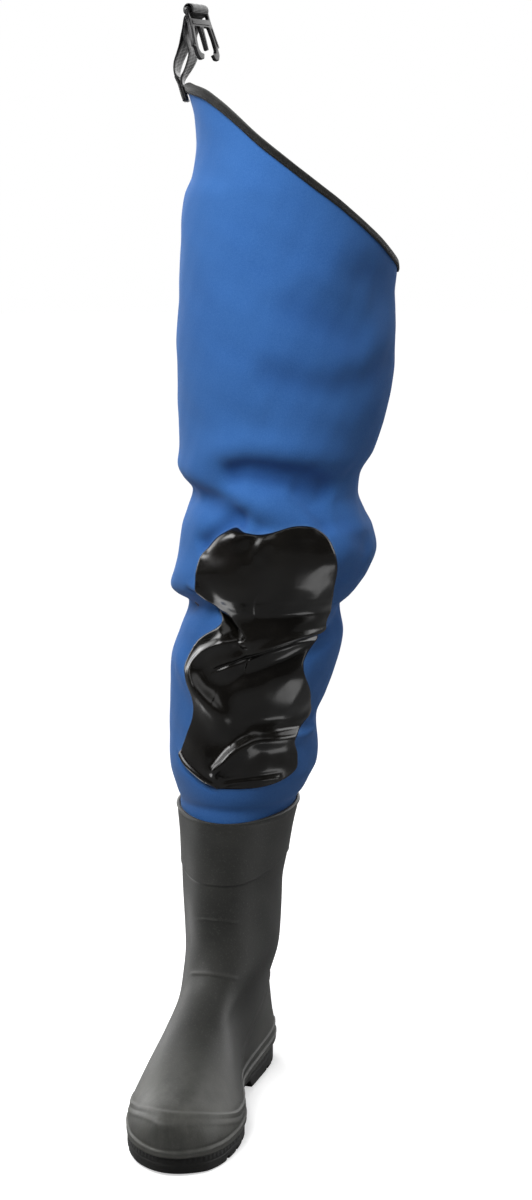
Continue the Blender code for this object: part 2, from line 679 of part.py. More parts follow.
def sole_ring(inset, height_name, rise=0.0, count=COLUMNS):
    ring = plan_ring(count, inset)
    return np.column_stack([ring, sole_height(ring[:, 1], height_name) + rise])


def add_outsole(parts, cutters, finish):
    """The black unit: heel block, waist, forefoot and its cleats."""
    rings = [
        sole_ring(0.0008, "tread"),
        sole_ring(0.0002, "tread", 0.0030),
        sole_ring(0.0000, "tread", 0.0060),
        sole_ring(0.0003, "seat"),
    ]
    mesh = layered_solid("outsole", rings)
    outsole = add_object("outsole", mesh, parts, finish)
    grooves = []
    for y in FOREFOOT_GROOVES + HEEL_GROOVES:
        for side in (-1, 1):
            grooves.append(add_groove(cutters, y, side))
    joined = join_cutters(grooves, "sole_grooves")
    cut(outsole, joined, "DIFFERENCE")
    return outsole


def add_groove(cutters, y, side):
    """One half of a chevron groove, from beside the middle to past the edge."""
    length = 0.062
    bpy.ops.mesh.primitive_cube_add(size=1)
    groove = bpy.context.object
    groove.name = "groove"
    for holder in groove.users_collection:
        holder.objects.unlink(groove)
    cutters.objects.link(groove)
    tilt = math.radians(GROOVE_TILT) * side
    groove.scale = (length, GROOVE_WIDTH, 2 * LUG_DEPTH)
    groove.rotation_euler = (0, 0, tilt)
    reach = length / 2 + 0.006
    groove.location = (side * reach * math.cos(tilt), y + side * reach * math.sin(tilt), 0)
    hide(groove)
    return groove


def join_cutters(pieces, name):
    """The cutters, which don't touch one another, as one object."""
    bpy.context.view_layer.update()
    shape = bmesh.new()
    for piece in pieces:
        piece.data.transform(piece.matrix_world)
        shape.from_mesh(piece.data)
    mesh = bpy.data.meshes.new(name)
    shape.to_mesh(mesh)
    shape.free()
    joined = bpy.data.objects.new(name, mesh)
    pieces[0].users_collection[0].objects.link(joined)
    for piece in pieces:
        bpy.data.objects.remove(piece)
    hide(joined)
    return joined


def add_insole(parts, finish):
    """A plain foam sole on the outsole, inside the boot's wall."""
    inset = UPPER_INSET + INSOLE_CLEARANCE
    rings = [
        sole_ring(inset, "seat", GAP),
        sole_ring(inset, "seat", GAP + INSOLE_THICKNESS),
    ]
    return add_object("insole", layered_solid("insole", rings), parts, finish)


def strap_line():
    """Middle line of the webbing, up, round the buckle's bar and down: its axis, offset, height and twist."""
    up = [((row.outer + row.inner) / 2, (row.outer - row.inner) / 2, row.height, row.twist) for row in WEBBING]
    down = [(axis, -offset, height, twist) for axis, offset, height, twist in reversed(up)]
    eye = []
    for degrees in EYE_TURNS:
        turn = math.radians(degrees)
        height = BAR_HEIGHT + EYE_RADIUS * math.sin(turn)
        eye.append((BAR_X, EYE_RADIUS * math.cos(turn), height, WEBBING[-1].twist))
    return up + eye + down


def add_hip_strap(parts, finish):
    """The loop of webbing, a sheet across its middle line with a wall."""
    grid = []
    for axis, offset, height, twist in strap_line():
        turn = math.radians(twist)
        middle = (axis + offset * math.cos(turn), STRAP_Y - offset * math.sin(turn))
        row = []
        for share in (-0.5, -0.17, 0.17, 0.5):
            side = share * WEBBING_WIDTH
            row.append((middle[0] + side * math.sin(turn), middle[1] + side * math.cos(turn), height))
        grid.append(row)
    mesh = sheet_mesh("hip_strap", np.array(grid), closed=False)
    shade_round(mesh, 50)
    strap = add_object("hip_strap", mesh, parts, finish)
    thicken(strap, WEBBING_WALL, 0)
    return strap


def plug_outline():
    """Half of the plug's edge from the end of its bar, down over one arm and back up to the centre pin."""
    half = PLUG_WIDTH / 2
    return [
        (half - 0.0020, 0.0024), (half, 0.0008), (half, -0.0090), (half + 0.0006, -0.0150),
        (half + 0.0022, -0.0260), (half + 0.0036, -0.0350), (half + 0.0008, -0.0354),
        (half + 0.0006, -0.0420), (half - 0.0024, -0.0472), (half - 0.0076, -0.0468),
        (half - 0.0098, -0.0420), (half - 0.0052, -0.0408), (half - 0.0030, -0.0365),
        (half - 0.0034, -0.0260), (half - 0.0052, -0.0160), (0.0028, -0.0160), (0.0018, -0.0380),
    ]


def add_buckle(parts, finish):
    """The plug of a side-release buckle, hanging by its bar in the webbing loop."""
    right = plug_outline()
    left = [(-x, y) for x, y in reversed(right)]
    slot_half = WEBBING_WIDTH / 2 + SLOT_SPARE
    slot_top, slot_low = -BAR_HALF, -BAR_HALF - SLOT_DEPTH
    slot = [(-slot_half, slot_top), (slot_half, slot_top), (slot_half, slot_low), (-slot_half, slot_low)]
    plug = outline_curve("buckle_outline", [right + left, slot], PLUG_THICKNESS / 2, rounded=False)
    made = curve_to_mesh(plug, parts, "buckle", finish)
    shade_round(made.data, 40)
    bar = bpy.data.objects.new("buckle_bar", None)
    bpy.context.scene.collection.objects.link(bar)
    bar.location = (BAR_X, STRAP_Y, BAR_HEIGHT)
    bar.rotation_euler = (0, 0, math.radians(90 - WEBBING[-1].twist))
    made.parent = bar
    made.rotation_euler = (math.radians(90 - PLUG_SWING), 0, 0)
    return bar


def settle(parts, cutters, buckle_bar):
    """Hang everything on one empty that puts the origin below the middle of the parts' box."""
    bpy.context.view_layer.update()
    graph = bpy.context.evaluated_depsgraph_get()
    places = []
    for part in parts.objects:
        evaluated = part.evaluated_get(graph)
        mesh = evaluated.to_mesh()
        places += [evaluated.matrix_world @ vertex.co for vertex in mesh.vertices]
        evaluated.to_mesh_clear()
    low, high = np.min(places, axis=0), np.max(places, axis=0)
    origin = bpy.data.objects.new("hip_wader_origin", None)
    bpy.context.scene.collection.objects.link(origin)
    origin.location = (-(low[0] + high[0]) / 2, -(low[1] + high[1]) / 2, -low[2])
    for part in list(parts.objects) + list(cutters.objects) + [buckle_bar]:
        if part.parent is None:
            part.parent = origin


def clear_scene():
    for item in list(bpy.data.objects):
        bpy.data.objects.remove(item)


def new_collection(name):
    made = bpy.data.collections.new(name)
    bpy.context.scene.collection.children.link(made)
    return made


def main():
    clear_scene()
    parts = new_collection("hip_wader")
    cutters = new_collection("cutters")
    rubber = material("grey rubber", (0.035, 0.035, 0.032), 0.55)
    black_rubber = material("black rubber", (0.008, 0.008, 0.008), 0.6)
    neoprene = material("blue neoprene", (0.03, 0.10, 0.36), 0.85)
    film = material("black film", (0.006, 0.005, 0.005), 0.12)
    tape = material("black tape", (0.012, 0.012, 0.012), 0.8)
    webbing = material("black webbing", (0.015, 0.015, 0.016), 0.6)
    plastic = material("black plastic", (0.010, 0.010, 0.011), 0.3)
    foam = material("insole foam", (0.05, 0.05, 0.05), 0.9)

    add_outsole(parts, cutters, black_rubber)
    add_boot(parts, rubber)
    add_insole(parts, foam)
    _, leg_grid = add_leg(parts, neoprene)
    add_knee_patch(parts, cutters, film, leg_grid)
    add_top_binding(parts, tape)
    add_hip_strap(parts, webbing)
    buckle_bar = add_buckle(parts, plastic)
    settle(parts, cutters, buckle_bar)


if __name__ == "__main__":
    main()
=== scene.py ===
"""The looks of the hip wader: camera, light, floor, and a finer piece over each of the model's nodes.

The same form functions as in the part's source give the forms here, about the middle of the heel. Each
piece is then moved to where the model's outsole stands. The sizes and tables shared with the source are the
same there, but for seven of the leg's folds, three rows of the sole's heights at the toe and the tape's depth.
"""

import math
from collections import namedtuple

import bmesh
import bpy
import numpy as np
from mathutils import Matrix, Vector
from mathutils.geometry import delaunay_2d_cdt


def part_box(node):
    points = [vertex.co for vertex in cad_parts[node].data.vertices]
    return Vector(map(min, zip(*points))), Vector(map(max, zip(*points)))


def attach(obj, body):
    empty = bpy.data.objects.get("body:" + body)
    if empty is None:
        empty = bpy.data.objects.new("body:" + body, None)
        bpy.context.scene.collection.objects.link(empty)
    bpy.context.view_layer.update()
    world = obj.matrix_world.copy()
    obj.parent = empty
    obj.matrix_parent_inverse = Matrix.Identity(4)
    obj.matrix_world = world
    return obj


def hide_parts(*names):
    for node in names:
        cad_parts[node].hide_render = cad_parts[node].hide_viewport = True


# Columns of points round the model's own outsole, which give its place.
MODEL_COLUMNS = 32

SOLE_LENGTH = 0.304
BALL_WIDTH = 0.112
HEEL_BACK = 0.0375
GAP = 0.0003

# Walls.
RUBBER_WALL = 0.0028
NEOPRENE_WALL = 0.0040
TAPE_WALL = 0.0010
PATCH_WALL = 0.0012
INSOLE_CLEARANCE = 0.0012

# Plan of the sole. share: along the length from heel to toe; outer, inner: side positions in ball widths.
Plan = namedtuple("Plan", "share outer inner")
PLAN = (
    Plan(0.00, 0.000, 0.000),
    Plan(0.03, -0.210, 0.210),
    Plan(0.08, -0.317, 0.317),
    Plan(0.16, -0.353, 0.353),
    Plan(0.30, -0.342, 0.324),
    Plan(0.45, -0.379, 0.281),
    Plan(0.60, -0.473, 0.411),
    Plan(0.70, -0.500, 0.491),
    Plan(0.76, -0.482, 0.500),
    Plan(0.86, -0.393, 0.464),
    Plan(0.94, -0.259, 0.375),
    Plan(0.98, -0.125, 0.241),
    Plan(1.00, 0.054, 0.054),
)

# Heights along the sole, from toe to heel. tread: underside; seat: top of the outsole;
# rand: top edge of the boot's thick lower band.
Sole = namedtuple("Sole", "y tread seat rand")
SOLE = (
    Sole(-0.2665, 0.0025, 0.0180, 0.0570),
    Sole(-0.2450, 0.0009, 0.0165, 0.0520),
    Sole(-0.2200, 0.0000, 0.0150, 0.0425),
    Sole(-0.1850, 0.0000, 0.0145, 0.0330),
    Sole(-0.1200, 0.0000, 0.0160, 0.0310),
    Sole(-0.0980, 0.0060, 0.0180, 0.0320),
    Sole(-0.0740, 0.0090, 0.0205, 0.0350),
    Sole(-0.0660, 0.0000, 0.0215, 0.0360),
    Sole(0.0000, 0.0000, 0.0250, 0.0400),
    Sole(0.0375, 0.0000, 0.0260, 0.0420),
)

# Sections of the last that the boot is moulded over, which is its inner face. back, nose: ends of the whole
# section; front: front of the shaft in it; outer, inner: sides of the shaft.
BootSection = namedtuple("BootSection", "height back nose front outer inner")
BOOT_SECTIONS = (
    BootSection(0.015, 0.0340, -0.2635, -0.060, -0.0380, 0.0360),
    BootSection(0.045, 0.0365, -0.2615, -0.090, -0.0390, 0.0365),
    BootSection(0.052, 0.0365, -0.2545, -0.102, -0.0385, 0.0360),
    BootSection(0.058, 0.0360, -0.2420, -0.110, -0.0380, 0.0355),
    BootSection(0.063, 0.0355, -0.2240, -0.116, -0.0375, 0.0355),
    BootSection(0.069, 0.0350, -0.2010, -0.120, -0.0370, 0.0355),
    BootSection(0.076, 0.0345, -0.1810, -0.123, -0.0365, 0.0355),
    BootSection(0.085, 0.0335, -0.1610, -0.125, -0.0360, 0.0362),
    BootSection(0.096, 0.0325, -0.1420, -0.124, -0.0355, 0.0380),
    BootSection(0.108, 0.0320, -0.1270, -0.120, -0.0352, 0.0408),
    BootSection(0.122, 0.0320, -0.1150, -0.115, -0.0350, 0.0448),
    BootSection(0.140, 0.0330, -0.1050, -0.105, -0.0355, 0.0490),
    BootSection(0.165, 0.0350, -0.0990, -0.099, -0.0375, 0.0495),
    BootSection(0.200, 0.0380, -0.0960, -0.096, -0.0405, 0.0502),
    BootSection(0.230, 0.0405, -0.0955, -0.0955, -0.0418, 0.0548),
    BootSection(0.260, 0.0430, -0.0960, -0.0960, -0.0435, 0.0598),
    BootSection(0.288, 0.0450, -0.0970, -0.0970, -0.0457, 0.0660),
)
BOOT_TOP = 0.288
FOOT_CREST = 0.122
UPPER_INSET = 0.0038
TOE_TIP_SIDE = 0.006
UNION_POWER = 9.0
ARCH_POWER = 2.0
ARCH_START = 0.25

# Steps in the boot's wall.
WELT_HEIGHT = 0.0060
WELT_STEP = 0.0022
RAND_STEP = 0.0014
COLLAR_BAND_LOW = 0.2320
COLLAR_BAND_STEP = 0.0009
COUNTER_STEP = 0.0011
STEP_SOFTNESS = 0.0008

# Edge of the heel counter, from the sole's waist up to the back of the ankle.
CounterEdge = namedtuple("CounterEdge", "y height")
COUNTER_EDGE = (
    CounterEdge(-0.1300, 0.030),
    CounterEdge(-0.0950, 0.052),
    CounterEdge(-0.0500, 0.083),
    CounterEdge(-0.0200, 0.097),
    CounterEdge(0.0400, 0.108),
)

BOOT_LEVEL_FROM = 0.070

# Sections of the leg. outer, inner, front, back: ends of an oval at each height.
LegSection = namedtuple("LegSection", "height outer inner front back")
LEG_SECTIONS = (
    LegSection(0.296, -0.0462, 0.0695, -0.0975, 0.0450),
    LegSection(0.301, -0.0482, 0.0740, -0.1010, 0.0470),
    LegSection(0.312, -0.0512, 0.0800, -0.1050, 0.0490),
    LegSection(0.328, -0.0550, 0.0873, -0.1080, 0.0500),
    LegSection(0.342, -0.0560, 0.0886, -0.1090, 0.0520),
    LegSection(0.373, -0.0562, 0.0864, -0.1070, 0.0540),
    LegSection(0.400, -0.0560, 0.0965, -0.1080, 0.0560),
    LegSection(0.433, -0.0540, 0.1080, -0.1100, 0.0570),
    LegSection(0.463, -0.0447, 0.1126, -0.1100, 0.0540),
    LegSection(0.488, -0.0373, 0.1105, -0.1070, 0.0500),
    LegSection(0.500, -0.0484, 0.1203, -0.1120, 0.0520),
    LegSection(0.507, -0.0512, 0.1265, -0.1160, 0.0540),
    LegSection(0.522, -0.0475, 0.1376, -0.1200, 0.0560),
    LegSection(0.545, -0.0435, 0.1460, -0.1220, 0.0570),
    LegSection(0.565, -0.0400, 0.1416, -0.1220, 0.0570),
    LegSection(0.580, -0.0359, 0.1333, -0.1200, 0.0570),
    LegSection(0.598, -0.0326, 0.1273, -0.1170, 0.0570),
    LegSection(0.612, -0.0405, 0.1285, -0.1160, 0.0600),
    LegSection(0.637, -0.0439, 0.1412, -0.1180, 0.0660),
    LegSection(0.680, -0.0456, 0.1541, -0.1220, 0.0760),
    LegSection(0.723, -0.0470, 0.1600, -0.1250, 0.0840),
    LegSection(0.780, -0.0448, 0.1580, -0.1260, 0.0880),
    LegSection(0.813, -0.0435, 0.1600, -0.1260, 0.0900),
    LegSection(0.846, -0.0420, 0.1600, -0.1260, 0.0900),
    LegSection(0.875, -0.0380, 0.1600, -0.1260, 0.0900),
    LegSection(0.893, -0.0315, 0.1600, -0.1250, 0.0890),
    LegSection(0.925, -0.0265, 0.1600, -0.1240, 0.0880),
    LegSection(0.944, -0.0285, 0.1600, -0.1230, 0.0870),
    LegSection(0.976, -0.0370, 0.1600, -0.1220, 0.0860),
)

# Top edge of the leg. angle: degrees around the leg, 0 at the front and 90 on the inner side.
Rim = namedtuple("Rim", "angle height")
RIM = (
    Rim(-255, 0.8100), Rim(-240, 0.8110), Rim(-224, 0.8200), Rim(-212, 0.8350), Rim(-200, 0.8520),
    Rim(-189, 0.8680), Rim(-169, 0.8920), Rim(-152, 0.9130), Rim(-135, 0.9320), Rim(-116, 0.9530),
    Rim(-95, 0.9690), Rim(-75, 0.9740), Rim(-55, 0.9700), Rim(-44, 0.9660), Rim(-33, 0.9570),
    Rim(-22, 0.9445), Rim(-8, 0.9260), Rim(9, 0.9060), Rim(23, 0.8895), Rim(37, 0.8735),
    Rim(51, 0.8560), Rim(63, 0.8415), Rim(75, 0.8290), Rim(88, 0.8190), Rim(105, 0.8100),
)
BINDING_DEPTH = 0.0064
BINDING_CLEARANCE = 0.0007

# Folds of the leg. Each is a line over three places (angle in degrees, height). The cloth swells by
# `above` over the line and by `below` under it, each across its own width. Minus is a trough.
Fold = namedtuple("Fold", "start middle end above above_width below below_width")
FOLDS = (
    Fold((-72, 0.497), (-22, 0.508), (9, 0.462), 0.0040, 0.018, -0.0090, 0.009),
    Fold((96, 0.490), (34, 0.461), (-10, 0.436), 0.0028, 0.014, -0.0060, 0.012),
    Fold((-52, 0.450), (-24, 0.423), (8, 0.390), -0.0014, 0.012, 0.0040, 0.011),
    Fold((84, 0.374), (30, 0.376), (-6, 0.350), -0.0030, 0.012, 0.0050, 0.010),
    Fold((-40, 0.618), (4, 0.626), (52, 0.607), 0.0035, 0.018, -0.0055, 0.013),
    Fold((-78, 0.608), (-30, 0.598), (14, 0.583), 0.0025, 0.012, -0.0045, 0.010),
    Fold((95, 0.728), (45, 0.710), (-5, 0.692), 0.0020, 0.030, -0.0024, 0.026),
    Fold((80, 0.812), (40, 0.775), (5, 0.735), 0.0015, 0.030, -0.0020, 0.024),
    Fold((88, 0.575), (62, 0.548), (40, 0.535), 0.0020, 0.016, -0.0018, 0.014),
    Fold((110, 0.515), (165, 0.500), (215, 0.512), 0.0040, 0.016, -0.0060, 0.013),
    Fold((130, 0.462), (180, 0.455), (225, 0.470), 0.0030, 0.016, -0.0050, 0.013),
    Fold((120, 0.600), (180, 0.585), (240, 0.602), 0.0030, 0.018, -0.0045, 0.016),
)
FOLD_TAPER = 14.0
LEG_RADIUS = 0.088

# Outline of the knee patch, seen from straight ahead, from its top left clockwise.
Place = namedtuple("Place", "x z")
PATCH_OUTLINE = (
    Place(0.0125, 0.5655), Place(0.0297, 0.5761), Place(0.0432, 0.5705), Place(0.0628, 0.5701),
    Place(0.0865, 0.5768), Place(0.1051, 0.5737), Place(0.1165, 0.5630), Place(0.1225, 0.5420),
    Place(0.1165, 0.5130), Place(0.1085, 0.4880), Place(0.1010, 0.4678), Place(0.0900, 0.4480),
    Place(0.0885, 0.4350), Place(0.0915, 0.4107), Place(0.0862, 0.3849), Place(0.0795, 0.3680),
    Place(0.0795, 0.3558), Place(0.0800, 0.3449), Place(0.0785, 0.3337), Place(0.0679, 0.3258),
    Place(0.0455, 0.3214), Place(0.0181, 0.3205), Place(0.0018, 0.3200), Place(-0.0151, 0.3292),
    Place(-0.0310, 0.3412), Place(-0.0294, 0.3525), Place(-0.0158, 0.3850), Place(-0.0141, 0.4057),
    Place(-0.0221, 0.4235), Place(-0.0240, 0.4384), Place(-0.0098, 0.4625), Place(0.0130, 0.4785),
    Place(0.0128, 0.4897), Place(0.0005, 0.5023), Place(-0.0072, 0.5152), Place(-0.0084, 0.5300),
    Place(-0.0013, 0.5507),
)

# Sole pattern.
LUG_DEPTH = 0.0045
GROOVE_WIDTH = 0.0050
GROOVE_TILT = 16.0
FOREFOOT_GROOVES = (-0.236, -0.218, -0.200, -0.182, -0.164, -0.146, -0.128)
HEEL_GROOVES = (-0.034, -0.017, 0.000, 0.017)

# Hip strap: a loop of webbing from the leg's outer corner round the buckle's bar. outer, inner: x of its two
# layers' middle lines at each height; twist: degrees that the webbing has turned from the leg's wall.
WEBBING_WIDTH = 0.025
WEBBING_WALL = 0.0016
STRAP_Y = -0.040
Webbing = namedtuple("Webbing", "height outer inner twist")
WEBBING = (
    Webbing(0.9600, -0.0352, -0.0333, -12),
    Webbing(0.9680, -0.0379, -0.0360, -12),
    Webbing(0.9750, -0.0400, -0.0381, -12),
    Webbing(0.9810, -0.0421, -0.0374, -8),
    Webbing(0.9870, -0.0432, -0.0336, -3),
    Webbing(0.9950, -0.0420, -0.0294, 2),
    Webbing(1.0030, -0.0388, -0.0270, 5),
    Webbing(1.0100, -0.0358, -0.0279, 9),
    Webbing(1.0180, -0.0330, -0.0304, 14),
    Webbing(1.0260, -0.0305, -0.0284, 18),
    Webbing(1.0340, -0.0287, -0.0267, 20),
)

# How much thicker the webbing is where its end is folded over and sewn.
STRAP_FOLD = 0.7
BAR_X = -0.0247
BAR_HEIGHT = 1.0410
EYE_RADIUS = 0.0051
EYE_TURNS = (240, 205, 165, 125, 90, 55, 15, -25, -60)

# Plug of a side-release buckle, drawn flat with its bar at the middle of the sheet and its arms hanging down.
PLUG_WIDTH = 0.033
PLUG_THICKNESS = 0.0036
PLUG_SWING = 18.0
BAR_HALF = 0.0021
SLOT_DEPTH = 0.0066
SLOT_SPARE = 0.0012

PATCH_ANGLES = (-75, 84)

# Columns of points round each of the scene's own pieces.
LEG_COLUMNS = 232
INSOLE_COLUMNS = 200
BOOT_COLUMNS = 192
SOLE_COLUMNS = 900
RIM_COLUMNS = 420

# The leg's lower end, the height where it comes free of the boot, where its folds grow, and where its rows
# start to follow the slanted edge.
LEG_END = 0.262
LEG_FREE = 0.300
FOLDS_GROW = (0.300, 0.325)
SLANTED_ROWS_FROM = 0.785

# Where the cloth that droops lies, to the left of its crease's line, and over what width.
DROOP_OFFSET = 0.0030
DROOP_WIDTH = 0.0045

# Swelling of a crease that counts as one in the cloth's painted shade, which darkens its hollows.
CREASE_SCALE = 0.005

# Creases of the leg that are sharper than its folds. line: places (angle in degrees, height) along it;
# bumps: (offset, width, height) of each swelling across it, its left side being plus; droop: how far
# the cloth on the left hangs over the line; taper: length over which its ends fade.
Crease = namedtuple("Crease", "line bumps droop taper", defaults=(0.0, 0.012))
CREASES = (
    # The lobe over the outer side of the knee, and the cloth tucked under it.
    Crease(
        (
            (-42, 0.515), (-31, 0.512), (-25, 0.506), (-18, 0.498), (-10, 0.488), (-3, 0.481), (2, 0.474),
            (7, 0.465),
        ),
        ((0.0030, 0.0040, 0.0022), (-0.0030, 0.0032, -0.0040)),
        droop=0.0030,
    ),
    # The long groove under the knee, and the lip above it.
    Crease(
        (
            (-20, 0.432), (-6, 0.442), (2, 0.447), (14, 0.454), (26, 0.460), (43, 0.465), (64, 0.466),
            (84, 0.471),
        ),
        ((-0.0004, 0.0021, -0.0030),),
        taper=0.022,
    ),
    Crease(
        ((-6, 0.4455), (3, 0.452), (19, 0.4605), (34, 0.467), (50, 0.4705), (63, 0.4715), (82, 0.476)),
        ((0.0, 0.0036, 0.0028),),
        taper=0.032,
    ),
    # The roll that turns back on itself beside the shin.
    Crease(
        (
            (16, 0.466), (6, 0.465), (-5, 0.464), (-14, 0.461), (-23.5, 0.453), (-29.5, 0.443), (-31, 0.436),
            (-30.5, 0.430), (-27, 0.422), (-21, 0.414), (-10.5, 0.403), (-2, 0.393), (5, 0.384),
        ),
        ((0.0, 0.0058, 0.0046),),
        taper=0.026,
    ),
    # The folds over the lower shin.
    Crease(
        ((16, 0.371), (32, 0.377), (46, 0.379), (64, 0.379), (80, 0.384)),
        ((0.0, 0.0060, 0.0016), (-0.0085, 0.0055, -0.0012)),
    ),
    Crease(
        ((-10, 0.332), (-1, 0.343), (9, 0.357), (22, 0.367), (44, 0.369), (73, 0.368), (90, 0.371)),
        ((0.0, 0.0042, 0.0024), (0.0075, 0.0050, -0.0014), (-0.0095, 0.0065, -0.0010)),
    ),
    Crease(
        ((-2, 0.3240), (12, 0.3280), (30, 0.3300), (48, 0.3300)),
        ((0.0, 0.0022, 0.0012), (0.0042, 0.0026, -0.0008)),
    ),
    # The film's lower outer corner curls up a little.
    Crease(
        ((-46, 0.352), (-38, 0.340), (-27, 0.332), (-14, 0.324), (-2, 0.320)),
        ((0.0034, 0.0030, 0.0020), (-0.0024, 0.0028, -0.0026)),
    ),
    # The short folds at the patch's notched top edge.
    Crease(
        ((2, 0.540), (3, 0.552), (7, 0.562), (14, 0.571)),
        ((0.0, 0.0060, 0.0014), (0.0105, 0.0066, -0.0022)),
    ),
    # The film's top outer corner leans back.
    Crease(
        ((-40, 0.548), (-32, 0.560), (-24, 0.571), (-13, 0.5795), (-1, 0.577)),
        ((0.0, 0.0088, -0.0060),),
    ),
    # The tuck above the knee and the one from the outer notch.
    Crease(
        ((-22, 0.618), (-3, 0.627), (15, 0.624), (28, 0.621), (40, 0.617), (60, 0.598)),
        ((0.0, 0.0130, -0.0075), (-0.0270, 0.0160, 0.0030), (0.0240, 0.0150, 0.0018)),
    ),
    Crease(
        ((26, 0.614), (36, 0.600), (44, 0.582), (50, 0.566)),
        ((0.0, 0.0090, -0.0028), (0.0180, 0.0110, 0.0014)),
    ),
    Crease(
        ((-78, 0.610), (-51, 0.606), (-35, 0.598), (-15, 0.592), (4, 0.585)),
        ((0.0, 0.0100, -0.0030), (0.0180, 0.0110, 0.0016)),
    ),
    Crease(
        ((50, 0.594), (60, 0.577), (70, 0.560), (86, 0.540)),
        ((0.0, 0.0130, -0.0020), (0.0240, 0.0140, 0.0010)),
    ),
    # Soft hollows of the thigh.
    Crease(
        ((98, 0.822), (78, 0.812), (58, 0.806), (36, 0.790)),
        ((0.0, 0.0180, -0.0024), (-0.0340, 0.0200, 0.0012)),
    ),
    Crease(
        ((66, 0.736), (49, 0.746), (32, 0.765), (2, 0.792)),
        ((0.0, 0.0190, -0.0026), (-0.0350, 0.0200, 0.0012)),
    ),
    Crease(
        ((96, 0.732), (78, 0.722), (55, 0.709), (30, 0.706), (-8, 0.722)),
        ((0.0, 0.0160, -0.0026), (0.0300, 0.0180, 0.0012)),
    ),
    # Wrinkles behind the knee and over the ankle, on the sides that the photo doesn't show.
    Crease(
        ((128, 0.520), (160, 0.506), (196, 0.508), (222, 0.522)),
        ((0.0, 0.0060, -0.0036), (0.0120, 0.0080, 0.0018)),
    ),
    Crease(
        ((140, 0.474), (172, 0.464), (206, 0.472)),
        ((0.0, 0.0060, -0.0030), (-0.0120, 0.0080, 0.0016)),
    ),
    Crease(
        ((126, 0.356), (160, 0.346), (205, 0.352)),
        ((0.0, 0.0090, -0.0026), (0.0160, 0.0110, 0.0014)),
    ),
)

# Small crumples in the film. spot: (angle, height); radius; depth.
Crumple = namedtuple("Crumple", "spot radius depth")
CRUMPLES = (
    Crumple((-16, 0.4385), 0.0030, 0.0002),
    Crumple((-12, 0.3270), 0.0070, 0.0003),
    Crumple((-2, 0.3300), 0.0055, 0.0003),
)

# The leg's glued and stitched seam, on its inner side.
SEAM_ANGLE = 104.0
SEAM_RISE = 0.0007
SEAM_WIDTH = 0.0016

# Thickness of the film at its edge, and how far in it grows to the whole.
FILM_EDGE = 0.00045
FILM_ROUND = 0.0024
FILM_GRID = 0.00125

# How far in the film's edge shows in its colour, and how deep the cloth lies under the film.
EDGE_REACH = 0.004
FILM_SINK = 0.0006

# Stitches: radius of the thread, how far it stands off the cloth, and how far from the tape's lower edge the
# ends of its zigzag lie. The tape has waves round the rim. The strap's sewn end has rows of stitches along its
# sides and across it, and is thicker up to the sewn top. It is a single layer from the fold's end up.
TAPE_THREAD = 0.00030
STRAP_THREAD = 0.00028
TAPE_LIFT = 0.0003
STRAP_LIFT = 0.0002
TAPE_STITCHES = (0.0030, 0.0010)
TAPE_WAVES = 90
STITCH_ROW = 0.0095
STITCH_LENGTH = 0.0020
STITCH_STEP = 0.0024
SEWN_TOP = 0.983
FOLD_END = 0.986

# Section of the insole's edge, from its underside up: how far in, and how high.
INSOLE_EDGE = (
    (0.0008, 0.0), (0.0002, 0.0004), (0.0, 0.0012), (0.0, 0.0026), (0.0004, 0.0035), (0.0012, 0.0040),
)

# The sole's bevel underneath, the fine line round its side and the ribs over that line.
SOLE_BEVEL = 0.0010
SOLE_LINE = 0.62
SOLE_RIBS = 110

# The bead under the boot's top edge, the groove under the bead, and the rubbed line along it.
BEAD_HEIGHT = 0.2862
BEAD_GROOVE = 0.2815
BEAD_RUBBED = 0.2868

# How far over the thick lower band the boot's free rows start.
OVER_RAND = 0.002

# Largest rounding of the buckle's corners.
CORNER_REACH = 0.0011

# Raised arcs over the front of the boot. height at the middle, drop at the ends, half angle, rise, width.
Arc = namedtuple("Arc", "height drop half rise width")
ARCS = (
    Arc(0.1850, 0.0045, 30, 0.00080, 0.0010),
    Arc(0.1330, 0.0075, 38, 0.00090, 0.0012),
    Arc(0.1060, 0.0060, 55, 0.00110, 0.0110),
)

# Columns on each side of the toe's tip over which the boot's two sides are led together.
TIP_COLUMNS = 12

# Passes of softening where the boot's foot runs into its shaft.
SOFTENING = 130

# How far the boot's top edge dips at the front.
COLLAR_TOP_DIP = 0.0055

# How far the collar band's lower edge dips at the front.
COLLAR_DIP = 0.014

# The photo's camera, about the middle of the heel.
CAMERA_PLACE = (0.5107, -1.8717, 0.870)
CAMERA_HEADING = (-0.24802, 0.96876)
CAMERA_DOWN = 11.3
CAMERA_LENS = 60.0

# Brightness of the surroundings: as soft light, as background, and mirrored where no panel is.
WORLD_SOFT = 0.25
WORLD_SEEN = 1.0
WORLD_MIRRORED = 0.035

# White panels of the surroundings that only gloss shows. first, last: degrees round from the front, plus to
# the right; low, high: sines of the elevations; strength: brightness.
Panel = namedtuple("Panel", "first last low high strength")
PANELS = (
    Panel(-128, -98, -0.02, 0.45, 3.5),
    Panel(-88, -48, 0.32, 0.66, 9.0),
    Panel(-30, 62, 0.60, 0.86, 1.1),
    Panel(84, 120, -0.02, 0.42, 4.0),
    Panel(120, 240, -0.05, 0.84, 2.2),
)

# Soft square lights. gloss: shown in gloss alone, or not in it at all.
Lamp = namedtuple("Lamp", "name place target size power gloss")
LAMPS = (
    Lamp("key", (-0.20, -0.86, 1.55), (0, -0.05, 0.78), (0.6, 0.6), 15, False),
    Lamp("back", (-1.20, 1.40, 1.20), (0, 0, 0.55), (0.9, 0.9), 20, False),
    Lamp("right_card", (0.53, -0.12, 0.030), (0.47, -0.12, 0.60), (0.40, 0.30), 0.75, True),
    Lamp("left_card", (-0.44, 0.09, 0.030), (-0.40, 0.08, 0.60), (0.30, 0.30), 0.75, True),
)

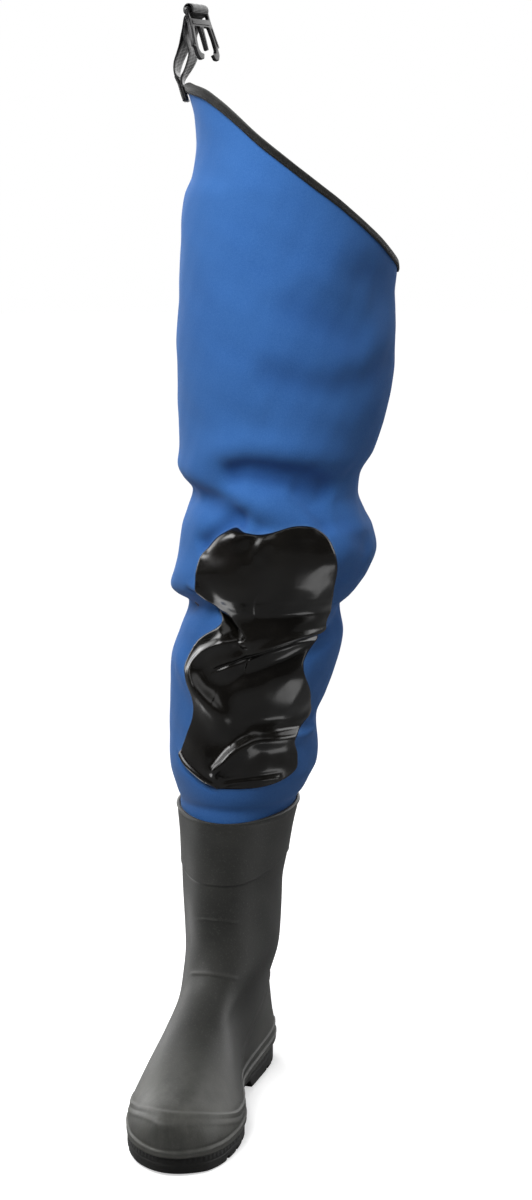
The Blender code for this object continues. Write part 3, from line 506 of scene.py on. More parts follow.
# The floor: how far from the wader its own light grows to the background's.
FLOOR_NEAR = 0.30
FLOOR_FAR = 1.8
FLOOR_GLOW = 0.55
FLOOR_SIDES = 96
FLOOR_RADIUS = 14.0

# Soft edges of the mirrored panels: at their sides, in radians, and at their ends.
PANEL_SOFT_SIDES = 0.08
PANEL_SOFT_ENDS = 0.06

# Even light from above: where it comes from, its strength, and how wide it is in degrees.
SKY_PLACE = (-0.15, 0.10, 1.0)
SKY_STRENGTH = 0.6
SKY_WIDTH = 70


def ridge(away, width):
    """1 on a line, falling softly to 0 on both sides of it."""
    return np.exp(-((away / width) ** 2))


def unit(vectors):
    """The same vectors with a length of one."""
    return vectors / np.linalg.norm(vectors, axis=-1, keepdims=True)


def wrapped(degrees):
    """The same angle from -180 to 180 degrees."""
    return (degrees + 180) % 360 - 180


def smooth(places, values, at):
    """Read a curve through the points that rises and falls only where they do."""
    places, values, at = (np.asarray(item, float) for item in (places, values, at))
    steps = np.diff(places)
    slopes = np.diff(values) / steps
    tangents = np.zeros(len(places))
    tangents[0], tangents[-1] = slopes[0], slopes[-1]
    before, after = slopes[:-1], slopes[1:]
    same = before * after > 0
    total = np.where(same, before + after, 1.0)
    tangents[1:-1] = np.where(same, 2 * before * after / total, 0.0)
    at = np.clip(at, places[0], places[-1])
    i = np.clip(np.searchsorted(places, at) - 1, 0, len(steps) - 1)
    t = (at - places[i]) / steps[i]
    start = values[i] * (1 + 2 * t) * (1 - t) ** 2 + values[i + 1] * t * t * (3 - 2 * t)
    bend = tangents[i] * t * (1 - t) ** 2 - tangents[i + 1] * t * t * (1 - t)
    return start + bend * steps[i]


def read(table, key, name, at):
    """Read one named column of a table along another."""
    return smooth([getattr(row, key) for row in table], [getattr(row, name) for row in table], at)


def ease(low, high, value):
    """Go from 0 to 1 between low and high."""
    t = np.clip((value - low) / (high - low), 0, 1)
    return t * t * (3 - 2 * t)


def turns(count):
    """Angles of the columns, from the heel (0) over the outer side to the toe (pi) and back."""
    return 2 * math.pi * np.arange(count) / count


def plan_side(y, side):
    """Side position of the sole's edge at a place along it."""
    share = (HEEL_BACK - y) / SOLE_LENGTH
    angle = np.arccos(np.clip(1 - 2 * share, -1, 1))
    angles = [math.acos(1 - 2 * row.share) for row in PLAN]
    return BALL_WIDTH * smooth(angles, [getattr(row, side) for row in PLAN], angle)


def plan_ring(count, inset=0.0):
    """The sole's outline as a ring of (x, y), moved in by the inset."""
    phi = turns(count)
    y = HEEL_BACK - SOLE_LENGTH * (1 - np.cos(phi)) / 2
    x = np.where(phi <= math.pi, plan_side(y, "outer"), plan_side(y, "inner"))
    ring = np.stack([x, y], axis=1)
    return ring - inset * ring_normals(ring)


def ring_normals(ring):
    """Unit normals of a closed ring of (x, y), pointing away from its middle."""
    along = np.roll(ring, -1, axis=0) - np.roll(ring, 1, axis=0)
    normal = unit(np.stack([along[:, 1], -along[:, 0]], axis=1))
    away = ((ring - ring.mean(axis=0)) * normal).sum()
    return normal * np.sign(away)


def sole_height(y, name):
    """One of the sole's heights at a place along it."""
    return read(SOLE, "y", name, y)


def crest(y):
    """Height of the top of the foot at a place along it."""
    rows = [row for row in BOOT_SECTIONS if row.height <= FOOT_CREST]
    return smooth([row.nose for row in rows], [row.height for row in rows], y)


def boot_side(y, z, side):
    """Side position of the last: its foot and its shaft, softly joined."""
    sign = -1 if side == "outer" else 1
    names = ("back", "front", "outer", "inner")
    back, front, outer, inner = (read(BOOT_SECTIONS, "height", name, z) for name in names)
    shaft_middle = (outer + inner) / 2
    foot_middle = TOE_TIP_SIDE * ease(-0.16, -0.26, y)
    middle = foot_middle + (shaft_middle - foot_middle) * ease(0.06, 0.13, z)
    across = (y - (front + back) / 2) / ((back - front) / 2)
    shaft = (inner - outer) / 2 * np.sqrt(np.clip(1 - across**2, 0, 1)) * ease(0.03, 0.075, z)
    toe_tip = HEEL_BACK - SOLE_LENGTH + UPPER_INSET
    plan_y = HEEL_BACK - (back - y) * SOLE_LENGTH / (back - toe_tip)
    edge = np.abs(plan_side(plan_y, side) - foot_middle) * (1 - 2 * UPPER_INSET / BALL_WIDTH)
    top = crest(y)
    start = ARCH_START * top
    up = np.clip((z - start) / np.maximum(top - start, 1e-6), 0, 1)
    foot = edge * np.sqrt(np.clip(1 - up**ARCH_POWER, 0, 1))
    reach = (foot**UNION_POWER + shaft**UNION_POWER) ** (1 / UNION_POWER)
    return middle + sign * reach


def counter_edge(y):
    """Height of the heel counter's edge, and how much of the counter there is, from 0 to 1."""
    start = COUNTER_EDGE[0].y
    height = read(COUNTER_EDGE, "y", "height", np.maximum(y, start))
    return height, ease(-0.004, 0.004, y - start)


def boot_relief(y, z):
    """How far the steps in the boot's wall stand out."""
    welt_top = sole_height(y, "seat") + WELT_HEIGHT
    rand_top = sole_height(y, "rand")
    counter, behind = counter_edge(y)
    out = RAND_STEP * ease(STEP_SOFTNESS, -STEP_SOFTNESS, z - rand_top)
    out = out + (WELT_STEP - RAND_STEP) * ease(STEP_SOFTNESS / 2, -STEP_SOFTNESS / 2, z - welt_top)
    out = out + COUNTER_STEP * behind * ease(0.003, -0.003, z - counter)
    return out + COLLAR_BAND_STEP * ease(-STEP_SOFTNESS, STEP_SOFTNESS, z - COLLAR_BAND_LOW)


def boot_nose(z):
    """Front end of the boot at each height: the foot's up to its crest, then the shaft's."""
    foot = read(BOOT_SECTIONS, "height", "nose", z)
    shaft = read(BOOT_SECTIONS, "height", "front", z)
    return np.where(z < FOOT_CREST, foot, shaft)


def fold_swell(fold, angle, height):
    """Outward move that one fold gives at each angle and height."""
    angles, heights = zip(*sorted((fold.start, fold.middle, fold.end)))
    first, middle, last = angles
    angle = middle + wrapped(angle - middle)
    line = smooth(angles, heights, angle)
    beyond = smooth(angles, heights, angle + 1)
    slope = (beyond - line) / (LEG_RADIUS * math.radians(1))
    away = (height - line) / np.sqrt(1 + slope**2)
    within = ease(first - FOLD_TAPER, first + FOLD_TAPER, angle)
    within = within * ease(last + FOLD_TAPER, last - FOLD_TAPER, angle)
    over = fold.above * ridge(away - fold.above_width, fold.above_width)
    under = fold.below * ridge(away + fold.below_width, fold.below_width)
    return within * (over + under)


def leg_section(height):
    """Ends of the leg's oval at each height. Inside the boot it follows the collar's inner face."""
    inset = 1.5 * GAP - COLLAR_BAND_STEP
    free = ease(BOOT_TOP + 0.001, LEG_SECTIONS[0].height, height)
    ends = []
    for name, way in (("outer", 1), ("inner", -1), ("front", 1), ("back", -1)):
        tucked = read(BOOT_SECTIONS, "height", name, height) + way * inset
        end = read(LEG_SECTIONS, "height", name, height)
        ends.append(tucked + (end - tucked) * free)
    return ends


def leg_point(angle, height):
    """A point of the leg's outer face, with its folds. angle in degrees, 0 at the front."""
    outer, inner, front, back = leg_section(height)
    half_width, half_depth = (inner - outer) / 2, (back - front) / 2
    turn = np.radians(angle)
    across, ahead = np.sin(turn), -np.cos(turn)
    length = np.hypot(across * half_depth, ahead * half_width)
    normal_x, normal_y = across * half_depth / length, ahead * half_width / length
    swell = sum(fold_swell(fold, angle, height) for fold in FOLDS)
    swell = swell * ease(*FOLDS_GROW, height)
    x = (outer + inner) / 2 + half_width * across + swell * normal_x
    y = (front + back) / 2 + half_depth * ahead + swell * normal_y
    return np.stack([x, y, np.broadcast_to(height, x.shape)], axis=-1)


def rim_height(angle):
    """Height of the leg's slanted top edge."""
    return read(RIM, "angle", "height", (np.asarray(angle) + 255) % 360 - 255)


def grid_normals(grid, closed=True):
    """Outward unit normals of a grid of points, rows by columns."""
    up = np.gradient(grid, axis=0)
    if closed:
        around = np.roll(grid, -1, axis=1) - np.roll(grid, 1, axis=1)
    else:
        around = np.gradient(grid, axis=1)
    return unit(np.cross(around, up))


def strap_line():
    """Middle line of the webbing, up, round the buckle's bar and down: its axis, offset, height and twist."""
    up = []
    for row in WEBBING:
        up.append(((row.outer + row.inner) / 2, (row.outer - row.inner) / 2, row.height, row.twist))
    down = [(axis, -offset, height, twist) for axis, offset, height, twist in reversed(up)]
    eye = []
    for degrees in EYE_TURNS:
        turn = math.radians(degrees)
        height = BAR_HEIGHT + EYE_RADIUS * math.sin(turn)
        eye.append((BAR_X, EYE_RADIUS * math.cos(turn), height, WEBBING[-1].twist))
    return up + eye + down


def plug_outline():
    """Half of the plug's edge from the end of its bar, down over one arm and back up to the centre pin."""
    half = PLUG_WIDTH / 2
    return [
        (half - 0.0020, 0.0024), (half, 0.0008), (half, -0.0090), (half + 0.0006, -0.0150),
        (half + 0.0022, -0.0260), (half + 0.0036, -0.0350), (half + 0.0008, -0.0354),
        (half + 0.0006, -0.0420), (half - 0.0024, -0.0472), (half - 0.0076, -0.0468),
        (half - 0.0098, -0.0420), (half - 0.0052, -0.0408), (half - 0.0030, -0.0365),
        (half - 0.0034, -0.0260), (half - 0.0052, -0.0160), (0.0028, -0.0160), (0.0018, -0.0380),
    ]


def leg_direction(angle, height):
    """Outward unit normal of the leg's face, before its sharper creases."""
    around = leg_point(angle + 0.4, height) - leg_point(angle - 0.4, height)
    up = leg_point(angle, height + 0.0008) - leg_point(angle, height - 0.0008)
    return unit(np.cross(around, up))


def soft_curve(points, parts):
    """Points on a soft curve from the second point to the last but one, without the curve's end."""
    curve = []
    for a, b, c, d in zip(points, points[1:], points[2:], points[3:]):
        for t in np.arange(parts) / parts:
            place = 2 * b + (c - a) * t + (2 * a - 5 * b + 4 * c - d) * t**2
            curve.append(0.5 * (place + (3 * b - a - 3 * c + d) * t**3))
    return curve


def rounded_line(places, parts=5):
    """More points along a line, on a soft curve through its own points."""
    points = np.asarray(places, float)
    ahead = np.vstack([2 * points[0] - points[1], points, 2 * points[-1] - points[-2]])
    return np.array(soft_curve(ahead, parts) + [points[-1]])


def unrolled(angle, height):
    """The leg's face laid flat: place round it and height, in metres."""
    return np.stack([LEG_RADIUS * np.radians(angle), height], axis=-1)


def line_distance(line, point):
    """How far points lie from a line, plus on its left, how far along it, and its length."""
    steps = np.diff(line, axis=0)
    lengths = np.hypot(steps[:, 0], steps[:, 1])
    starts = np.concatenate([[0.0], np.cumsum(lengths)])
    nearest = np.full(len(point), 1e9)
    signed = np.zeros(len(point))
    along = np.zeros(len(point))
    for start, step, length, begun in zip(line, steps, lengths, starts):
        away = point - start
        share = np.clip(away @ step / length**2, 0, 1)
        rest = away - share[:, None] * step
        distance = np.hypot(rest[:, 0], rest[:, 1])
        left = np.sign(step[0] * rest[:, 1] - step[1] * rest[:, 0])
        closer = distance < nearest
        nearest = np.where(closer, distance, nearest)
        signed = np.where(closer, left * distance, signed)
        along = np.where(closer, begun + share * length, along)
    return signed, along, starts[-1]


def crease_move(angle, height):
    """Outward swelling and downward droop that the creases give at each place."""
    swell = np.zeros(angle.shape)
    droop = np.zeros(angle.shape)
    for crease in CREASES:
        middle = np.mean([place[0] for place in crease.line])
        point = unrolled(middle + wrapped(angle - middle), height)
        line = rounded_line([unrolled(np.float64(a), z) for a, z in crease.line])
        reach = max(abs(offset) + 2.4 * width for offset, width, _ in crease.bumps)
        low, high = line.min(axis=0) - reach, line.max(axis=0) + reach
        near = np.all((point > low) & (point < high), axis=-1)
        if not near.any():
            continue
        away, along, length = line_distance(line, point[near])
        taper = min(max(crease.taper, 1.5 * crease.bumps[0][1]), length / 2)
        share = ease(0, taper, along) * ease(0, taper, length - along)
        rise = sum(size * ridge(away - offset, width) for offset, width, size in crease.bumps)
        swell[near] += share * rise
        droop[near] += share * crease.droop * ridge(away - DROOP_OFFSET, DROOP_WIDTH)
    fade = ease(*FOLDS_GROW, height)
    return swell * fade, droop * fade


def soft_noise(u, z):
    """The slight unevenness of slack cloth, from a few long waves."""
    return (
        0.00050 * np.sin(61 * u + 23 * z + 0.4) * np.sin(37 * z - 19 * u)
        + 0.00035 * np.sin(103 * z + 41 * u + 1.7) * np.sin(71 * u)
        + 0.00018 * np.sin(190 * u + 57 * z) * np.sin(167 * z - 80 * u + 0.9)
    )


def crumple_rise(angle, height):
    """Small crumples of the film."""
    point = unrolled(angle, height)
    total = np.zeros(angle.shape)
    for crumple in CRUMPLES:
        away = point - unrolled(np.float64(crumple.spot[0]), crumple.spot[1])
        u, z = away[..., 0], away[..., 1]
        waves = np.sin(900 * u + 420 * z) * np.sin(780 * z - 300 * u + 1.1)
        total += crumple.depth * ridge(np.hypot(u, z), crumple.radius) * waves
    return total


def seam_rise(angle):
    """The seam's low ridge, with its groove along the middle."""
    away = LEG_RADIUS * np.radians(wrapped(angle - SEAM_ANGLE))
    return SEAM_RISE * (1.6 * ridge(away, SEAM_WIDTH) - 1.2 * ridge(away, 0.35 * SEAM_WIDTH))


def leg_face(angle, height, lift=0.0):
    """A point of the creased leg, lifted off its face, and the swelling that the creases give there."""
    angle, height = np.broadcast_arrays(np.asarray(angle, float), np.asarray(height, float))
    swell, droop = crease_move(angle, height)
    by_rim = ease(0.008, 0.040, rim_height(angle) - height)
    swell, droop = swell * by_rim, droop * by_rim
    calm = ease(LEG_FREE, 0.335, height) * ease(0.0, 0.03, rim_height(angle) - height)
    outward = swell + lift + calm * soft_noise(LEG_RADIUS * np.radians(angle), height)
    point = leg_point(angle, height) + outward[..., None] * leg_direction(angle, height)
    point[..., 2] -= droop
    return point, swell


def leg_rows():
    """Heights of the fine leg's rows at each column, from inside the boot to the slanted edge."""
    angles = -180 + 360 * np.arange(LEG_COLUMNS) / LEG_COLUMNS
    levels = np.concatenate([
        np.linspace(LEG_END, LEG_FREE, 12),
        np.arange(0.302, 0.640, 0.0021),
        np.arange(0.641, SLANTED_ROWS_FROM, 0.004),
    ])
    rows = [np.full(LEG_COLUMNS, level) for level in levels]
    rise = rim_height(angles) - SLANTED_ROWS_FROM
    rows += [SLANTED_ROWS_FROM + share * rise for share in np.linspace(0, 1, 44)]
    return angles, np.array(rows)


def mesh_of(name, points, faces):
    """A smooth mesh of points and faces."""
    mesh = bpy.data.meshes.new(name)
    mesh.from_pydata(np.asarray(points).tolist(), [], [list(face) for face in faces])
    mesh.update()
    mesh.shade_smooth()
    return mesh


def grid_faces(rows, columns, closed_columns=True, closed_rows=False):
    """Faces between the points of a grid, which may close on itself either way."""
    index = np.arange(rows * columns).reshape(rows, columns)
    right = np.roll(index, -1, axis=1)
    if not closed_columns:
        index, right = index[:, :-1], right[:, :-1]
    low, low_right = index, right
    high, high_right = np.roll(index, -1, axis=0), np.roll(right, -1, axis=0)
    if not closed_rows:
        low, low_right, high, high_right = low[:-1], low_right[:-1], high[:-1], high_right[:-1]
    return np.stack([low, low_right, high_right, high], axis=-1).reshape(-1, 4).tolist()


def tube_mesh(name, grid):
    """A mesh over a grid of points that closes on itself both ways."""
    return mesh_of(name, grid.reshape(-1, 3), grid_faces(*grid.shape[:2], True, True))


def cap_faces(begun, count):
    """Faces across a flat ring of points, each between one side of the ring and the other."""
    faces = []
    for j in range(count // 2):
        corners = [begun + j, begun + j + 1, begun + (-j - 1) % count, begun + (-j) % count]
        faces.append([corner for i, corner in enumerate(corners) if corner not in corners[:i]])
    return faces


def line_with_lining(mesh, begun):
    """Give a mesh its second material from one face on."""
    inside = np.arange(len(mesh.polygons)) >= begun
    mesh.polygons.foreach_set("material_index", inside.astype(np.int32))


def in_scene(name, data):
    """A new object in the scene."""
    made = bpy.data.objects.new(name, data)
    bpy.context.scene.collection.objects.link(made)
    return made


def add_values(mesh, name, values):
    """Keep one number for each point, for the materials."""
    layer = mesh.attributes.new(name, "FLOAT", "POINT")
    layer.data.foreach_set("value", np.asarray(values, np.float32).ravel())


def add_piece(name, mesh, finishes, node, body="root"):
    """Put a mesh in the scene in place of the model's node of the same part."""
    piece = in_scene(name, mesh)
    for finish in finishes:
        mesh.materials.append(finish)
    mesh.transform(Matrix.Translation(PLACE))
    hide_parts(node)
    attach(piece, body)
    return piece


def patch_border(steps=6):
    """The film's outline on the unrolled leg, as (angle, height)."""
    loop = np.array([(row.x, row.z) for row in PATCH_OUTLINE])
    angles = np.linspace(*PATCH_ANGLES, 320)
    placed = []
    for x, z in soft_curve(np.vstack([loop[-1:], loop, loop[:2]]), steps):
        sides = leg_point(angles, np.full(angles.shape, z))[:, 0]
        sides = np.maximum.accumulate(sides)
        placed.append((np.interp(x, sides + 1e-9 * np.arange(len(sides)), angles), z))
    return np.array(placed)


def border_distance(border, point):
    """How far points lie inside a closed border, minus outside it."""
    loop = np.vstack([border, border[:1]])
    steps = np.diff(loop, axis=0)
    nearest = np.full(len(point), 1e9)
    crossings = np.zeros(len(point), int)
    for start, step in zip(loop, steps):
        away = point - start
        share = np.clip(away @ step / max(step @ step, 1e-18), 0, 1)
        rest = away - share[:, None] * step
        nearest = np.minimum(nearest, np.hypot(rest[:, 0], rest[:, 1]))
        if abs(step[1]) > 1e-12:
            level = away[:, 1] / step[1]
            crossings += (level >= 0) & (level < 1) & (start[0] + level * step[0] > point[:, 0])
    return np.where(crossings % 2 == 1, nearest, -nearest)


def even_border(border, spacing):
    """The same closed border with its points at even spaces."""
    loop = np.vstack([border, border[:1]])
    along = np.concatenate([[0], np.cumsum(np.hypot(*np.diff(loop, axis=0).T))])
    count = int(along[-1] / spacing)
    at = np.linspace(0, along[-1], count, endpoint=False)
    return np.stack([np.interp(at, along, loop[:, 0]), np.interp(at, along, loop[:, 1])], axis=1)


def patch_points():
    """The film's border and inner points on the unrolled leg, in metres."""
    border = patch_border()
    border = even_border(unrolled(border[:, 0], border[:, 1]), FILM_GRID)
    low, high = border.min(axis=0), border.max(axis=0)
    u = np.arange(low[0], high[0], FILM_GRID)
    z = np.arange(low[1], high[1], FILM_GRID * 0.87)
    grid = np.stack(np.meshgrid(u, z), axis=-1)
    grid[1::2, :, 0] += FILM_GRID / 2
    grid = grid.reshape(-1, 2)
    inside = border_distance(border, grid)
    kept = inside > FILM_GRID * 0.6
    return border, grid[kept], inside[kept]


def add_film(finish, border, inner, depth):
    """The glossy film, closed all round, on the creased leg."""
    flat = np.vstack([border, inner])
    count = len(border)
    edges = [(i, (i + 1) % count) for i in range(count)]
    vectors = [Vector(point) for point in flat]
    placed, _, triangles, origins, _, _ = delaunay_2d_cdt(vectors, edges, [], 1, 1e-7)
    flat = np.array([tuple(point) for point in placed])
    depth = np.concatenate([np.zeros(count), depth])
    depth = np.array([depth[list(origin)[0]] if origin else 0.0 for origin in origins])
    angle, height = np.degrees(flat[:, 0] / LEG_RADIUS), flat[:, 1]
    wall = FILM_EDGE + (PATCH_WALL - FILM_EDGE) * np.sqrt(1 - (1 - np.clip(depth / FILM_ROUND, 0, 1)) ** 2)
    under, _ = leg_face(angle, height, GAP * 0.5)
    crumple = crumple_rise(angle, height) * np.clip(depth / EDGE_REACH, 0, 1)
    over, _ = leg_face(angle, height, GAP * 0.5 + wall + crumple)
    size = len(flat)
    faces = [tuple(face) for face in triangles]
    ring = {}
    for face in faces:
        for a, b in zip(face, face[1:] + face[:1]):
            ring[(a, b)] = ring.get((a, b), 0) + 1
    rims = [(a, b) for (a, b) in ring if (b, a) not in ring]
    solid = list(faces)
    solid += [tuple(size + i for i in reversed(face)) for face in faces]
    solid += [(b, a, size + a, size + b) for a, b in rims]
    mesh = mesh_of("film", np.vstack([over, under]), solid)
    add_values(mesh, "edge", np.clip(1 - np.concatenate([depth, depth * 0]) / EDGE_REACH, 0, 1))
    return add_piece("film_knee_patch", mesh, [finish], "knee_patch")


def add_leg(finishes, border):
    """The neoprene leg as one closed sheet: outer face, edge, lining and lower end."""
    angles, heights = leg_rows()
    wide = np.broadcast_to(angles, heights.shape)
    flat = unrolled(wrapped(wide), heights)
    inside = np.full(heights.shape, -1.0)
    near = (heights > 0.30) & (heights < 0.60) & (np.abs(flat[..., 0]) < 0.15)
    inside[near] = border_distance(border, flat[near])
    sunk = FILM_SINK * ease(0.001, 0.003, inside)
    outer, swell = leg_face(wide, heights, seam_rise(wide) * ease(LEG_FREE, 0.32, heights) - sunk)
    every = np.r_[0:len(heights):4, len(heights) - 1]
    lining, lining_swell = leg_face(wide[every], heights[every], -NEOPRENE_WALL)
    mesh = tube_mesh("neoprene", np.concatenate([outer, lining[::-1]]))
    line_with_lining(mesh, (len(outer) - 1) * LEG_COLUMNS)
    # The creases' swelling, kept as the mask for the cloth's painted shade in its hollows.
    add_values(mesh, "crease", np.concatenate([swell, lining_swell[::-1]]) / CREASE_SCALE)
    halo = np.concatenate([ease(-0.0022, -0.0006, inside), np.zeros(lining_swell.shape)])
    add_values(mesh, "halo", halo)
    return add_piece("neoprene_leg", mesh, finishes, "leg")


def boot_front(phi):
    """Angle of a column from the front of the boot, in degrees, plus on the inner side."""
    return np.degrees(phi - math.pi)


def collar_edge(front):
    """Height of the collar band's lower edge at each angle from the front."""
    return COLLAR_BAND_LOW + 0.002 - COLLAR_DIP * ease(95, 15, np.abs(front))


def arc_line(arc, front):
    """Height of one of the boot's arcs at each angle from the front."""
    return arc.height - arc.drop * (front / arc.half) ** 2


def boot_detail(ring, phi, seat, rand):
    """Fine relief of the boot's outer face over its steps: bands, lines, arcs and the collar's bead."""
    y, z = ring[..., 1], ring[..., 2]
    front = boot_front(phi)
    collar = collar_edge(front)
    band = ease(-STEP_SOFTNESS, STEP_SOFTNESS, z - collar)
    band = band - ease(-STEP_SOFTNESS, STEP_SOFTNESS, z - COLLAR_BAND_LOW)
    out = boot_relief(y, z) + COLLAR_BAND_STEP * band
    for arc in ARCS:
        within = ease(arc.half, arc.half * 0.7, np.abs(front))
        out = out + arc.rise * within * ridge(z - arc_line(arc, front), arc.width)
    ahead = ease(-0.10, -0.16, y)
    counter, behind = counter_edge(y)
    below, welt, edge = z - rand, z - (seat + WELT_HEIGHT), z - counter
    for share, away, width, rise in (
        (1, below, 0.0012, 0.0004),
        (ahead, below + 0.0045, 0.0009, -0.0004),
        (ahead, below + 0.0085, 0.0016, 0.0004),
        (1, welt + 0.0008, 0.0010, 0.0004),
        (1, welt - 0.0016, 0.0008, -0.0005),
        (behind, edge + 0.0030, 0.0010, 0.0005),
        (behind, edge + 0.0065, 0.0010, -0.0004),
        (1, z - collar, 0.0009, 0.0005),
        (1, z - BEAD_HEIGHT, 0.0016, 0.0008),
        (1, z - BEAD_GROOVE, 0.0010, -0.0003),
    ):
        out = out + rise * share * ridge(away, width)
    return out


def last_ring(height_at, count):
    """One ring of the last, without the steps that the boot's wall has."""
    phi = turns(count)
    nose, back = np.full(count, -0.2), np.full(count, 0.03)
    for _ in range(12):
        nose = boot_nose(height_at(nose))
        back = read(BOOT_SECTIONS, "height", "back", height_at(back))
    y = back + (nose - back) * (1 - np.cos(phi)) / 2
    z = height_at(y)
    outer, inner = boot_side(y, z, "outer"), boot_side(y, z, "inner")
    middle, half = (outer + inner) / 2, (inner - outer) / 2
    away = np.abs(np.arange(count) - count // 2)
    ramp = half[count // 2 - TIP_COLUMNS] * away / TIP_COLUMNS
    half = half + (ramp - half) * ease(TIP_COLUMNS, TIP_COLUMNS / 3, away)
    z = z - COLLAR_TOP_DIP * ease(0.258, BOOT_TOP, z) * ridge(boot_front(phi), 50)
    return np.column_stack([middle + np.where(phi <= math.pi, -half, half), y, z])


def softened(grid, share, passes):
    """Round off the edges of a ring grid, most where the share is 1."""
    for _ in range(passes):
        around = (np.roll(grid, 1, axis=1) + np.roll(grid, -1, axis=1)) / 2
        along = grid.copy()
        along[1:-1] = (grid[:-2] + grid[2:]) / 2
        grid = grid + 0.5 * share[..., None] * (0.8 * along + 0.2 * around - grid)
    return grid


def seat_height(y):
    """Height of the boot's lowest row, just over the outsole."""
    return sole_height(y, "seat") + GAP


def free_height(y):
    """Height of the row just over the boot's thick lower band."""
    return sole_height(y, "rand") + OVER_RAND


def level(height):
    """A row of the boot at one height all along."""
    return lambda y: np.full(np.shape(y), height)


def between(low, high, share):
    """A row of the boot a share of the way from one row to another."""
    return lambda y: low(y) + share * (high(y) - low(y))


def boot_rows():
    """The boot's rows from the outsole to the collar, each as a height for every place along the sole."""
    levels = np.concatenate([
        np.arange(0.0712, 0.216, 0.0012), np.arange(0.2165, 0.2370, 0.0009),
        np.arange(0.2385, 0.280, 0.002), np.linspace(0.2805, BOOT_TOP, 13),
    ])
    rows = [between(seat_height, free_height, share) for share in np.linspace(0, 1, 34)]
    rows += [between(free_height, level(BOOT_LEVEL_FROM), share) for share in np.linspace(0, 1, 28)[1:]]
    return rows + [level(height) for height in levels]


def add_boot(finishes):
    """The moulded boot: outer face with its relief, collar edge and lining."""
    last = np.array([last_ring(row, BOOT_COLUMNS) for row in boot_rows()])
    above = last[..., 2] - sole_height(last[..., 1], "rand")
    last = softened(last, ease(0.003, 0.014, above) * ease(0.20, 0.16, last[..., 2]), SOFTENING)
    normals = grid_normals(last)
    phi = np.broadcast_to(turns(BOOT_COLUMNS), last.shape[:2])
    seats, rands = seat_height(last[..., 1]), sole_height(last[..., 1], "rand")
    detail = boot_detail(last, phi, seats, rands)
    uneven = 0.00025 * np.sin(70 * last[..., 2] + 3 * phi) * np.sin(5 * phi + 40 * last[..., 2])
    calm = ease(0.0, 0.012, last[..., 2] - seats)
    outer = last + (RUBBER_WALL + detail + uneven * calm)[..., None] * normals
    relief = boot_relief(last[..., 1], last[..., 2])
    lining = (last + relief[..., None] * normals * np.array([1, 1, 0]))[::-4]
    edge = (outer[-1] + last[-1]) / 2 + np.array([0, 0, 0.0006])
    mesh = tube_mesh("rubber", np.concatenate([outer, edge[None], lining]))
    line_with_lining(mesh, len(outer) * BOOT_COLUMNS)
    flat = np.concatenate([last, last[-1:], last[::-4]])
    band = outer_band(last, boot_front(phi), seats, rands)
    add_values(mesh, "band", np.concatenate([band, np.zeros((1 + len(lining), BOOT_COLUMNS))]))
    toe = ease(0.120, 0.050, flat[..., 2]) * ease(-0.13, -0.22, flat[..., 1])
    heel = ease(0.115, 0.065, flat[..., 2]) * ease(-0.09, -0.04, flat[..., 1])
    add_values(mesh, "dust", toe + 0.45 * heel)
    return add_piece("rubber_boot", mesh, finishes, "boot")


def outer_band(last, front, seats, rands):
    """1 on the foxing and along the raised lines, where dust and rubbing show lighter."""
    z = last[..., 2]
    foxing = ease(0.0085, 0.0060, z - seats)
    line = 0.16 * ridge(z - rands, 0.0014)
    for arc in ARCS[:2]:
        within = ease(arc.half, arc.half * 0.6, np.abs(front))
        line = line + 0.5 * within * ridge(z - arc_line(arc, front), 0.0009)
    sides = ease(18, 40, np.abs(front)) * ease(80, 62, np.abs(front))
    line = line + 0.55 * sides * ridge(z - collar_edge(front), 0.0010)
    line = line + 0.3 * ridge(z - BEAD_RUBBED, 0.0009)
    return np.clip(0.7 * foxing + line, 0, 1)


def groove_depth(x, y):
    """How deep the sole is cut at each place."""
    tilt = math.radians(GROOVE_TILT)
    depth = np.zeros(x.shape)
    for start in FOREFOOT_GROOVES + HEEL_GROOVES:
        away = np.abs((y - start) * math.cos(tilt) - np.abs(x) * math.sin(tilt))
        cut = ease(GROOVE_WIDTH / 2 + 0.0003, GROOVE_WIDTH / 2 - 0.0003, away)
        depth = np.maximum(depth, cut * ease(0.0055, 0.0068, np.abs(x)))
    return LUG_DEPTH * depth


